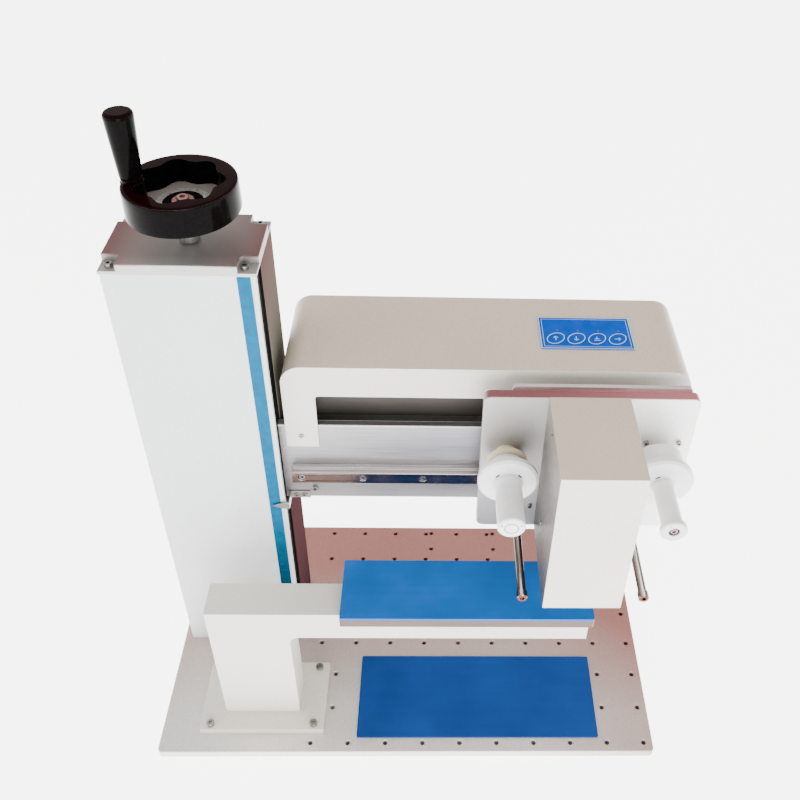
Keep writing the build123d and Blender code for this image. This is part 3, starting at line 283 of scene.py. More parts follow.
def blasted_anodised_aluminium(name, colour, rose, reflection_mask, painted_tone=None, painted_tone_along=None, grit_mm=1.3):
    """Glass-blasted and anodised plate: a pearly, low sheen with tiny sparkling grains and slight clouds.
    The grain is drawn coarser than the real 0.1 mm, so that it shows. A painted rose reflection lies where
    the mask function of the tree says so. Where a shade tone is given, painted shade darkens the plate at the
    start of its span."""
    material, tree, shader = start(name, Metallic=0.6, Roughness=0.46)
    vector = position(tree)
    grit = noise(tree, vector, grit_mm, 4.0, 0.7)
    cloud = noise(tree, vector, 120.0, 2.0)
    grain = ramp(tree, grit, [(0.3, shade(colour, 0.9)), (0.7, shade(colour, 1.05))])
    tone = ramp(tree, cloud, [(0.3, 0.93), (0.7, 1.0)])
    body = mixed(tree, 1.0, grain, tone, "MULTIPLY")
    # Painted shade towards the start of the given span.
    if painted_tone:
        body = mixed(tree, along(tree, *painted_tone_along), mixed(tree, 0.7, body, painted_tone), body)
    # Painted rose reflection.
    body = mixed(tree, reflection_mask(tree), body, mixed(tree, 1.0, body, rose, "MULTIPLY"))
    tree.links.new(body, shader.inputs["Base Color"])
    gloss = ramp(tree, grit, [(0.3, 0.40), (0.7, 0.56)])
    tree.links.new(gloss, shader.inputs["Roughness"])
    bump(tree, shader, grit, 0.04, 0.4)
    return material


def brushed_aluminium(name, colour, way, roughness=0.34):
    """Brushed plate: long fine lines one way, which draw the highlight out across them."""
    material, tree, shader = start(name, Metallic=1.0, Roughness=roughness, Anisotropic=0.5)
    lines = noise(tree, position(tree, drawn_out(way, 0.012)), 0.9, 3.0, 0.7)
    cloud = noise(tree, position(tree), 60.0, 2.0)
    brushed = ramp(tree, lines, [(0.3, shade(colour, 0.86)), (0.7, shade(colour, 1.08))])
    tone = ramp(tree, cloud, [(0.3, 0.9), (0.7, 1.0)])
    tree.links.new(mixed(tree, 1.0, brushed, tone, "MULTIPLY"), shader.inputs["Base Color"])
    gloss = ramp(tree, lines, [(0.3, roughness - 0.08), (0.7, roughness + 0.1)])
    tree.links.new(gloss, shader.inputs["Roughness"])
    bump(tree, shader, lines, 0.02, 0.5)
    return material


LINT_MM = 9.0                        # distance between specks of lint


def silicone_rubber(name, colour):
    """Calendered silicone sheet: even and soft, with a broad dull sheen, faint rolling marks and lint."""
    material, tree, shader = start(name, Roughness=0.5, IOR=1.43, Specular_IOR_Level=0.12)
    vector = position(tree)
    rolled = noise(tree, position(tree, (0.05, 1, 1)), 5.0, 2.0)
    cloud = noise(tree, vector, 70.0, 2.0)
    lint = add_node(tree, "ShaderNodeTexVoronoi", None, {"Vector": vector, "Scale": 1 / LINT_MM})
    base = ramp(tree, cloud, [(0.3, shade(colour, 0.93)), (0.7, shade(colour, 1.07))])
    streak = ramp(tree, rolled, [(0.3, 0.95), (0.7, 1.0)])
    speck = ramp(tree, lint.outputs["Distance"], [(0.0, 1.0), (0.045, 0.0)])
    body = mixed(tree, 1.0, base, streak, "MULTIPLY")
    tree.links.new(mixed(tree, speck, body, shade(colour, 1.22)), shader.inputs["Base Color"])
    gloss = ramp(tree, cloud, [(0.3, 0.36), (0.7, 0.5)])
    tree.links.new(gloss, shader.inputs["Roughness"])
    bump(tree, shader, rolled, 0.03, 0.4)
    return material


WHEEL_MIDDLE = (-188.6, 24.5, 580)   # on the wheel's axis, in millimetres
DISH_REACH, DISH_TOP = 38.5, 590     # past the dish's waves, and a height between its floor and the rim
INSERT_BORE = 17                     # just more than the radius of the hole in the light metal ring


def phenolic_moulding(name):
    """Polished black phenolic: deep and glossy, with a thin flow pattern, faint hand marks in the gloss and
    a painted dark red reflection on its upper faces. The dish's floor is dull and painted grey for the light
    it catches, but black inside the ring."""
    material, tree, shader = start(name, Roughness=0.14, IOR=1.5, Specular_IOR_Level=0.025)
    vector = position(tree)
    smear = noise(tree, vector, 14.0, 3.0)
    flow = noise(tree, vector, 3.0, 2.0)
    body = ramp(tree, flow, [(0.3, "030303"), (0.7, "080606")])
    # Painted dark red reflection on the upper faces.
    body = mixed(tree, facing_up(tree), body, "160204")
    round_axis = (1, 1, 0)
    dish = both(tree, within(tree, WHEEL_MIDDLE, DISH_REACH, round_axis),
                along(tree, "Z", DISH_TOP, DISH_TOP - 2))
    floor = both(tree, dish, facing_up(tree))
    # The dish floor is painted grey for the light it catches, and black inside the ring.
    painted_tone = mixed(tree, within(tree, WHEEL_MIDDLE, INSERT_BORE, round_axis), "8A8480", "0A0808")
    tree.links.new(mixed(tree, floor, body, painted_tone), shader.inputs["Base Color"])
    gloss = ramp(tree, smear, [(0.35, 0.09), (0.7, 0.22)])
    tree.links.new(mixed(tree, floor, gloss, (0.6, 0.6, 0.6, 1)), shader.inputs["Roughness"])
    bump(tree, shader, smear, 0.06, 0.15)
    return material


def plated_steel(name, colour="A5A09C", roughness=0.24):
    """Zinc-plated steel: bright, slightly warm, cloudy and finely mottled."""
    material, tree, shader = start(name, Metallic=1.0, Roughness=roughness)
    vector = position(tree)
    cloud = noise(tree, vector, 2.5, 3.0)
    tone = ramp(tree, cloud, [(0.3, shade(colour, 0.78)), (0.7, colour)])
    tree.links.new(tone, shader.inputs["Base Color"])
    gloss = ramp(tree, noise(tree, vector, 1.0, 2.0), [(0.3, roughness - 0.06), (0.7, roughness + 0.12)])
    tree.links.new(gloss, shader.inputs["Roughness"])
    bump(tree, shader, cloud, 0.02, 0.4)
    return material


def ground_steel(name, way, colour="A8A4A0", painted_front_shade=None):
    """Ground rail steel: mirror-like along its length, with hair lines and a thin oil film. Where a front
    tone is given, the upright faces are painted that much darker than the track on top, as painted shade."""
    material, tree, shader = start(name, Metallic=1.0, Roughness=0.2, Anisotropic=0.6)
    lines = noise(tree, position(tree, drawn_out(way, 0.01)), 0.7, 2.0, 0.7)
    oil = noise(tree, position(tree), 22.0, 2.0)
    body = ramp(tree, lines, [(0.3, shade(colour, 0.86)), (0.7, shade(colour, 1.08))])
    if painted_front_shade:
        body = mixed(tree, facing_up(tree), mixed(tree, 1.0, body, painted_front_shade, "MULTIPLY"), body)
    tree.links.new(body, shader.inputs["Base Color"])
    tree.links.new(ramp(tree, oil, [(0.3, 0.15), (0.7, 0.3)]), shader.inputs["Roughness"])
    bump(tree, shader, lines, 0.01, 0.4)
    return material


def chromed_steel(name):
    """Hard-chromed rod with very fine polishing rings: a painted highlight along its top, painted shade down
    its sides, and a painted reddish brown shade on its front end."""
    material, tree, shader = start(name, Metallic=1.0, Roughness=0.12)
    rings = noise(tree, position(tree, (0.3, 1, 0.3)), 0.8, 2.0)
    # Painted highlight on top and painted shade down the sides, by which way the face leans.
    painted_rod_light = ramp(tree, facing(tree, "X", -1, 1), [
        (0.12, "4A3F3B"), (0.4, "A89F99"), (0.52, "F4F0EC"), (0.62, "8A807A"), (0.9, "3C3230")])
    body = mixed(tree, facing(tree, "Y", -0.8, -0.95), painted_rod_light, "5C3230")
    fine = ramp(tree, rings, [(0.3, 0.9), (0.7, 1.0)])
    tree.links.new(mixed(tree, 1.0, body, fine, "MULTIPLY"), shader.inputs["Base Color"])
    tree.links.new(ramp(tree, rings, [(0.3, 0.08), (0.7, 0.2)]), shader.inputs["Roughness"])
    bump(tree, shader, rings, 0.01, 0.4)
    return material


def turned_plastic(name, colour, roughness=0.36, glow=0.12):
    """Turned acetal or nylon: milky, with light passing a little way in, faint rings from the tool and
    painted shade in slots and corners."""
    material, tree, shader = start(
        name, Roughness=roughness, IOR=1.48, Subsurface_Weight=glow, Subsurface_Scale=2 * MM)
    rings = noise(tree, position(tree, (0.25, 1, 0.25)), 0.8, 2.0)
    handled = noise(tree, position(tree), 18.0, 2.0)
    base = ramp(tree, handled, [(0.3, shade(colour, 0.95)), (0.7, colour)])
    fine = ramp(tree, rings, [(0.3, 0.965), (0.7, 1.0)])
    clean = mixed(tree, 1.0, base, fine, "MULTIPLY")
    # Painted shade in slots and corners.
    tree.links.new(mixed(tree, in_corner(tree, 4.0), clean, "2C2826"), shader.inputs["Base Color"])
    gloss = ramp(tree, handled, [(0.3, roughness - 0.08), (0.7, roughness + 0.08)])
    tree.links.new(gloss, shader.inputs["Roughness"])
    bump(tree, shader, rings, 0.03, 0.4)
    return material


def capped_plastic(name, colour, axis_point, screw_radius):
    """Turned acetal with a steel screw in its middle: milky outside, and dull dark metal in the cup."""
    material, tree, shader = start(name, Roughness=0.36, IOR=1.48)
    screw = within(tree, axis_point, screw_radius, (1, 0, 1))
    handled = noise(tree, position(tree), 18.0, 2.0)
    milky = ramp(tree, handled, [(0.3, shade(colour, 0.95)), (0.7, colour)])
    steel = ramp(tree, noise(tree, position(tree), 1.2, 2.0), [(0.3, "5A4844"), (0.7, "A79A96")])
    tree.links.new(mixed(tree, screw, milky, steel), shader.inputs["Base Color"])
    tree.links.new(screw, shader.inputs["Metallic"])
    tree.links.new(ramp(tree, handled, [(0.3, 0.28), (0.7, 0.44)]), shader.inputs["Roughness"])
    return material


def extruded_rubber(name):
    """Rubber, extruded as the slot's lips or moulded as the belt: dull black with paler upright lines."""
    material, tree, shader = start(name, Roughness=0.7, IOR=1.52, Specular_IOR_Level=0.02)
    lines = noise(tree, position(tree, (1, 1, 0.02)), 0.9, 2.0)
    tree.links.new(ramp(tree, lines, [(0.35, "0B0B0C"), (0.75, "1B1A1B")]), shader.inputs["Base Color"])
    tree.links.new(ramp(tree, lines, [(0.3, 0.6), (0.7, 0.8)]), shader.inputs["Roughness"])
    bump(tree, shader, lines, 0.05, 0.5)
    return material


def moulded_abs(name, colour, painted_light=None):
    """Spark-textured black ABS, and the guard sheet drawn as dark as it to stand for the shade inside the
    cover:
    an even matt grain, drawn coarser than the real 0.1 mm. Where a painted light function of the tree is
    given, it leans to that colour."""
    material, tree, shader = start(name, Roughness=0.5, IOR=1.53)
    grain = noise(tree, position(tree), 0.9, 3.0, 0.7)
    body = ramp(tree, grain, [(0.3, shade(colour, 0.8)), (0.7, shade(colour, 1.15))])
    if painted_light:
        body = mixed(tree, 0.7, body, painted_light(tree))
    tree.links.new(body, shader.inputs["Base Color"])
    tree.links.new(ramp(tree, grain, [(0.3, 0.44), (0.7, 0.6)]), shader.inputs["Roughness"])
    bump(tree, shader, grain, 0.04, 0.5)
    return material


def motor_enamel(name):
    """Stepper motor: black enamel over a stack of thin steel sheets, seen as fine lines round the body."""
    material, tree, shader = start(name, Roughness=0.38, IOR=1.5)
    vector = position(tree, (0.02, 1, 0.02))
    sheets = add_node(tree, "ShaderNodeTexWave", {"bands_direction": "Y"},
                      {"Vector": position(tree), "Scale": 0.35, "Distortion": 0.0}).outputs["Fac"]
    cloud = noise(tree, vector, 1.0, 2.0)
    tree.links.new(ramp(tree, cloud, [(0.3, "0A0A0B"), (0.7, "1A1A1B")]), shader.inputs["Base Color"])
    tree.links.new(ramp(tree, sheets, [(0.2, 0.3), (0.8, 0.5)]), shader.inputs["Roughness"])
    bump(tree, shader, sheets, 0.08, 0.4)
    return material


def machined_bronze(name):
    """Machined tin bronze: warm yellow-brown, with turning lines and a thin brown tarnish."""
    material, tree, shader = start(name, Metallic=1.0, Roughness=0.32)
    tarnish = noise(tree, position(tree), 7.0, 3.0)
    tree.links.new(ramp(tree, tarnish, [(0.3, "8A6534"), (0.7, "B98E4E")]), shader.inputs["Base Color"])
    tree.links.new(ramp(tree, tarnish, [(0.3, 0.26), (0.7, 0.42)]), shader.inputs["Roughness"])
    bump(tree, shader, noise(tree, position(tree, (0.3, 0.3, 1)), 0.6, 2.0), 0.02, 0.5)
    return material


def solder_mask(name):
    """Glass-epoxy board under green solder mask, with the tracks showing as lighter lines."""
    material, tree, shader = start(name, Roughness=0.32, IOR=1.55, Coat_Weight=0.3)
    tracks = add_node(tree, "ShaderNodeTexBrick", {"offset": 0.5}, {
        "Vector": position(tree), "Scale": 0.16, "Mortar Size": 0.06, "Color1": linear("0A3A1E"),
        "Color2": linear("0C4624"), "Mortar": linear("1F6A3B")}).outputs["Color"]
    tree.links.new(tracks, shader.inputs["Base Color"])
    gloss = ramp(tree, noise(tree, position(tree), 5.0), [(0.3, 0.26), (0.7, 0.42)])
    tree.links.new(gloss, shader.inputs["Roughness"])
    return material


def printed_film(name, colour, low=None, height=None):
    """Polyester film printed from behind: a smooth face over flat ink, slightly orange-peeled. Where low is
    given, painted shade darkens the ink to it, going down between two heights in millimetres."""
    material, tree, shader = start(name, Roughness=0.35, IOR=1.5, Specular_IOR_Level=0.02)
    ink = noise(tree, position(tree), 12.0, 2.0)
    base = ramp(tree, ink, [(0.3, shade(colour, 0.95)), (0.7, shade(colour, 1.05))])
    if low:
        base = mixed(tree, along(tree, "Z", *height), low, base)
    tree.links.new(base, shader.inputs["Base Color"])
    tree.links.new(ramp(tree, ink, [(0.3, 0.24), (0.7, 0.36)]), shader.inputs["Roughness"])
    bump(tree, shader, noise(tree, position(tree), 2.5, 1.0), 0.02, 0.3)
    return material


EDGE_HIGHLIGHT = "F7F5F1"                 # sRGB hex of the painted highlight along the edges of the cover, head, stand and carriage


def thin_layer(name, colour):
    """Screen-printed ink, and also the painted highlight along a broken edge: flat, dull and slightly uneven.
    """
    material, tree, shader = start(name, Roughness=0.5, IOR=1.5)
    patch = noise(tree, position(tree), 1.5, 2.0)
    tree.links.new(ramp(tree, patch, [(0.3, shade(colour, 0.9)), (0.7, colour)]), shader.inputs["Base Color"])
    return material


# ------------------------------------------------------------------ shared work

def dress(material, *nodes):
    """Gives CAD nodes a material."""
    for name in nodes:
        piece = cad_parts[name]
        piece.data.materials.clear()
        piece.data.materials.append(material)


def break_edges(width, *nodes, edge_highlight=None):
    """Rounds the sharp edges of CAD nodes, as a modifier, so that they catch the light. Where a highlight
    material is given, it shows along them as a painted highlight."""
    for name in nodes:
        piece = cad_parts[name]
        weld = piece.modifiers.new("weld", "WELD")
        weld.merge_threshold = 0.002 * MM
        bevel = piece.modifiers.new("broken_edges", "BEVEL")
        bevel.width, bevel.segments, bevel.angle_limit = width, 2, math.radians(35)
        bevel.use_clamp_overlap, bevel.harden_normals = True, False
        if edge_highlight:
            piece.data.materials.append(edge_highlight)
            bevel.material = 1
        piece.modifiers.new("weighted_normals", "WEIGHTED_NORMAL").keep_sharp = False


def new_piece(name, verts, faces, material, body):
    """A mesh in the frame's own metres, riding on a body."""
    mesh = bpy.data.meshes.new(name)
    mesh.from_pydata(verts, [], faces)
    mesh.update()
    mesh.materials.append(material)
    piece = bpy.data.objects.new(name, mesh)
    bpy.context.scene.collection.objects.link(piece)
    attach(piece, body)
    return piece


def oval_line(a, b, width, turn=0.0, steps=48):
    """Quads that make an oval line, as flat (u, v) outlines."""
    def at(inset, i):
        angle = math.tau * i / steps
        u, v = (a - inset) * math.cos(angle), (b - inset) * math.sin(angle)
        return u * math.cos(turn) - v * math.sin(turn), u * math.sin(turn) + v * math.cos(turn)
    return [[at(0, i), at(0, i + 1), at(width, i + 1), at(width, i)] for i in range(steps)]


def dot(radius, centre, steps=16):
    """A round spot as one outline."""
    angles = [math.tau * i / steps for i in range(steps)]
    return [(centre[0] + radius * math.cos(angle), centre[1] + radius * math.sin(angle)) for angle in angles]


def stroke(u0, v0, u1, v1, width):
    """One straight printed line as a quad."""
    length = math.hypot(u1 - u0, v1 - v0)
    nu, nv = -(v1 - v0) / length * width / 2, (u1 - u0) / length * width / 2
    return [(u0 - nu, v0 - nv), (u1 - nu, v1 - nv), (u1 + nu, v1 + nv), (u0 + nu, v0 + nv)]


def frame_lines(u0, v0, u1, v1, width):
    """Four lines round a rectangle, with the upright ones between the other two."""
    half = width / 2
    return [stroke(u0 - half, v0, u1 + half, v0, width), stroke(u0 - half, v1, u1 + half, v1, width),
            stroke(u0, v0 + half, u0, v1 - half, width), stroke(u1, v0 + half, u1, v1 - half, width)]


STROKES = {"a": (0, 2, 1, 2), "b": (1, 2, 1, 1), "c": (1, 1, 1, 0), "d": (0, 0, 1, 0), "e": (0, 0, 0, 1),
           "f": (0, 1, 0, 2), "g": (0, 1, 1, 1)}
DIGIT_SPACING, DIGIT_LINE = 1.7, 0.16   # pitch in halves of a digit's height, and line width in heights
DIGITS = ["abcdef", "bc", "abged", "abgcd", "fgbc", "afgcd", "afgedc", "abc", "abcdefg", "abcdfg"]


def number_lines(number, u, v, height):
    """A number in plain strokes, with its first digit's lower left corner at (u, v)."""
    unit, lines = height / 2, []
    for place, digit in enumerate(str(number)):
        left = u + place * DIGIT_SPACING * unit
        for name in DIGITS[int(digit)]:
            u0, v0, u1, v1 = [value * unit for value in STROKES[name]]
            lines.append(stroke(left + u0, v + v0, left + u1, v + v1, DIGIT_LINE * height))
    return lines


def print_flat(name, outlines, origin, across, up, material, body):
    """Ink on a flat face: each outline is laid on a plane through origin, in metres."""
    verts, faces = [], []
    for outline in outlines:
        faces.append(list(range(len(verts), len(verts) + len(outline))))
        verts += [Vector(origin) + Vector(across) * u + Vector(up) * v for u, v in outline]
    return new_piece(name, verts, faces, material, body)


class PressOperator(bpy.types.Operator):
    bl_options = {"REGISTER", "UNDO"}


# ------------------------------------------------------------------ base, column and stand

BASE_REFLECTION_BACK = (-110, 90)          # Y over which the base plate's painted rose reflection deepens, in millimetres
BASE_REFLECTION_RIGHT = (120, 300)         # X over which more of it is added
BASE_REFLECTION_MORE = 0.6                 # the most that is added


class PRESS_OT_base(PressOperator):
    """Base plate and its silicone pad"""
    bl_idname, bl_label = "press.base", "Base plate"

    def execute(self, context):
        # The base plate's film carries a painted rose reflection, deepest at the back and the right.
        plate = blasted_anodised_aluminium("blasted_anodised_base", colours().plate, "D0948F", self.rosy)
        dress(plate, "base_plate")
        dress(silicone_rubber("silicone_lower", colours().lower_pad), "base_pad")
        break_edges(sizes().plate_edge, "base_pad")
        return {"FINISHED"}

    def rosy(self, tree):
        """The painted rose reflection deepens towards the back and the right."""
        right = both(tree, along(tree, "X", *BASE_REFLECTION_RIGHT), BASE_REFLECTION_MORE)
        return add_node(tree, "ShaderNodeMath", {"operation": "ADD", "use_clamp": True},
                        {0: along(tree, "Y", *BASE_REFLECTION_BACK), 1: right}).outputs[0]


CAP_FACE = (540, 541.5)              # heights that tell the cap's top face from its sides, in millimetres
CAP_REFLECTION = (-190, 8, 62)             # X that its painted rose reflection spreads from, and where it begins and is full
CAP_SHADOW = ("Y", 0, -55)             # painted shadow of the wheel: the cap is darkest behind the first of these, bright at the second
SLOT_WALL = (-133, -132)             # X that tells the wall with the slot from the rest of the column
SLOT_WALL_HEIGHTS = (0, 541)         # heights between which that wall's painted shade changes its tone
SCALE_SHADE_HEIGHTS = (90, 220)               # heights between which painted shade darkens the scale's blue towards the bottom
TAPE_GAP = 0.04 * MM                 # how far the scale's ink stands off its film


class PRESS_OT_column(PressOperator):
    """Column shell, cap, foot block, bearings, rails, dust lips, scale film and all the screws"""
    bl_idname, bl_label = "press.column", "Column"

    def execute(self, context):
        dress(powder_coated_steel("powder_coat_column", colours().column_paint), "column_front_panel")
        # The wall with the slot carries painted shade and a painted rose reflection.
        dress(powder_coated_steel("powder_coat_column_side", colours().column_paint, self.side_tint, 0.0),
              "column_body")
        # The cap has a painted rose reflection on its top face and a painted shadow of the wheel at its back.
        cap = blasted_anodised_aluminium(
            "blasted_anodised_cap", "E0DFDE", "C08E90", self.rosy_sides, "6A6664", CAP_SHADOW)
        dress(cap, "column_top_cap")
        screws = "column_cap_screws", "stand_foot_screws", "arm_screws", "carriage_screws"
        dress(plated_steel("zinc_plated_screws"), *screws)
        dress(brushed_aluminium("milled_aluminium_foot", "BDBBBA", "Z"), "column_foot_block")
        dress(plated_steel("bearing_ring_steel", "B8B6B4", 0.2), "screw_bearings")
        dress(ground_steel("ground_rail_upright", "Z"), "lift_rails")
        dress(extruded_rubber("nitrile_lip"), "slot_dust_lips")
        film = colours().scale_film
        # The scale's blue darkens towards the bottom as painted shade.
        dress(printed_film("polyester_scale_film", film, "05283A", SCALE_SHADE_HEIGHTS), "scale_strip")
        break_edges(sizes().sheet_edge, "column_front_panel")
        self.scale_print()
        return {"FINISHED"}

    def rosy_sides(self, tree):
        """The cap's top face has a painted rose reflection that deepens to its left and right."""
        return both(tree, along(tree, "Z", *CAP_FACE), away(tree, "X", *CAP_REFLECTION))

    def side_tint(self, tree):
        """Painted shade and rose reflection: the wall with the slot is darker and warmer than the front, and
        rosier towards its ends.
        """
        wall = along(tree, "X", *SLOT_WALL)
        height = along(tree, "Z", *SLOT_WALL_HEIGHTS)
        return mixed(tree, wall, "FFFFFF", ramp(tree, height, [
            (0.44, "603F42"), (0.52, "898175"), (0.8, "8C8478"), (0.97, "7D5F5C")]))

    def scale_print(self):
        """Numbered marks up the height scale, in centimetres, with a half mark between them."""
        low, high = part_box("scale_strip")
        step, digit, first = sizes().scale_step, sizes().digit_height, sizes().scale_first
        margin_right, margin_left, mark, half_mark = 0.6 * MM, 1.4 * MM, 3.0 * MM, 1.8 * MM
        mark_line, half_line = 0.35 * MM, 0.25 * MM
        edge, lines = high.x - margin_right, []
        for count in range(int((high.z - first - digit) / step) + 1):
            level = first + step * count
            between = level + step / 2
            lines.append(stroke(edge - mark, level, edge, level, mark_line))
            lines.append(stroke(edge - half_mark, between, edge, between, half_line))
            lines += number_lines(count, low.x + margin_left, level - digit / 2, digit)
        ink = thin_layer("scale_ink", "07304A")
        face = (0, low.y - TAPE_GAP, 0)
        print_flat("scale_marks", lines, face, (1, 0, 0), (0, 0, 1), ink, "base")


class PRESS_OT_stand(PressOperator):
    """Free arm, its foot, pad plate and silicone pad"""
    bl_idname, bl_label = "press.stand", "Free arm stand"

    def execute(self, context):
        coat = powder_coated_steel("powder_coat_stand", colours().cover_paint)
        dress(coat, "stand_foot_plate", "stand_arm")
        # The pad plate's aluminium is drawn dark and rosy, as painted shade with a painted rose reflection.
        dress(brushed_aluminium("milled_pad_plate", "5C4E4D", "X"), "arm_pad_plate")
        dress(silicone_rubber("silicone_upper", colours().upper_pad), "arm_pad")
        # Painted highlight along the arm's edges.
        break_edges(sizes().sheet_edge, "stand_arm", edge_highlight=thin_layer("painted_highlight_stand_edge", EDGE_HIGHLIGHT))
        break_edges(sizes().plate_edge, "arm_pad_plate", "arm_pad", "stand_foot_plate")
        return {"FINISHED"}


# ------------------------------------------------------------------ lifting screw and wheel

class PRESS_OT_handwheel(PressOperator):
    """Handwheel, its insert and screw, the crank's stud and grip"""
    bl_idname, bl_label = "press.handwheel", "Handwheel"

    def execute(self, context):
        dress(phenolic_moulding("polished_phenolic"), "handwheel", "grip_stud", "crank_grip")
        dress(plated_steel("zinc_insert", "CFCDCC", 0.5), "handwheel_insert")
        dress(plated_steel("zinc_hub_screw", "B98A88", 0.3), "handwheel_screw")
        # Painted highlight along the handwheel's edges.
        break_edges(sizes().wheel_edge, "handwheel", edge_highlight=thin_layer("painted_highlight_phenolic_edge", "4A4443"))
        dress(brushed_aluminium("blasted_screw_sleeve", "8E8C8B", "Z", 0.5), "lead_screw")
        return {"FINISHED"}


# ------------------------------------------------------------------ arm and its drive

GUARD_SHADE = "3C3835"               # sRGB hex of the guard sheet behind the window, dark as painted shade inside the cover
GUARD_HEIGHTS = (320, 350)           # heights that its painted fold is placed between, in millimetres
GUARD_FOLD = (0.6, 0.605, 0.63, 0.635)   # shares of the way up: end of the painted pale part, painted shadow line, the rest
INK_GAP = 0.03 * MM                  # how far the keypad's ink stands off its film
OFF_FACE = (110.94 * MM, 0.464)      # middle of the rocker's upper face, and how it leans out as it rises
ON_FACE = (110.09 * MM, -0.152)      # the same for its lower face
KEY_HALF = (10.2 * MM, 7.8 * MM)     # half the length and breadth of a key
KEY_TURN = 40                        # degrees that the keys' long way is turned from X
# plain pictures: raise, lower, press and feed, each as lines in millimetres
ICONS = [
    [(0, -3, 0, 3), (0, 3, -2.2, 0.8), (0, 3, 2.2, 0.8)],
    [(0, -3, 0, 3), (0, -3, -2.2, -0.8), (0, -3, 2.2, -0.8)],
    [(-3, -2.4, 3, -2.4), (-2, 0, 2, 0), (0, 3, 0, 0.4)],
    [(-3, 0, 3, 0), (3, 0, 1, 2), (3, 0, 1, -2)],
]


class PRESS_OT_arm(PressOperator):
    """Lift carriage, arm plate, rail, pointer, drives, print head and control board"""
    bl_idname, bl_label = "press.arm", "Lifting arm"

    def execute(self, context):
        milled = brushed_aluminium("milled_aluminium_blocks", "B8B5B4", "X")
        dress(milled, "lift_carriage", "drive_pulley", "idler_pulley", "belt_clamp", "press_slider",
              "thermal_print_head")
        # The guard sheet is drawn dark as painted shade, with a painted fold.
        dress(moulded_abs("painted_shade_guard", GUARD_SHADE, self.guard_fold), "belt_brackets")
        dress(brushed_aluminium("brushed_arm_plate", "A6A4A6", "X", 0.42), "arm_plate")
        break_edges(sizes().plate_edge, "scale_pointer", "belt_clamp")
        # Painted highlight along the arm plate's edges.
        break_edges(sizes().track_edge, "arm_plate", edge_highlight=thin_layer("painted_highlight_arm_plate_edge", "FAFAF8"))
        break_edges(sizes().track_edge, "arm_rail")
        # The rail's top is painted brighter than steel as a painted highlight, and its upright faces carry a
        # rosy painted shade.
        dress(ground_steel("ground_rail_steel", "X", "F4F1ED", "8A7470"), "arm_rail")
        dress(ground_steel("ground_block_steel", "X", "BDB7B1"), "lift_blocks", "head_blocks")
        dress(machined_bronze("machined_bronze"), "lead_nut")
        dress(plated_steel("bright_pointer", "B8B2B0", 0.32), "scale_pointer")
        dress(motor_enamel("motor_enamel"), "traverse_motor", "takeup_motor", "press_motor", "press_rail")
        dress(extruded_rubber("belt_rubber"), "timing_belt")
        dress(solder_mask("solder_mask_board"), "control_board")
        return {"FINISHED"}

    def guard_fold(self, tree):
        """A painted fold: the guard sheet is painted paler below it, with a painted shadow line along it."""
        tones = "6C6C66", "080808", "080808", shade(GUARD_SHADE, 1.1)
        return ramp(tree, along(tree, "Z", *GUARD_HEIGHTS), list(zip(GUARD_FOLD, tones)))


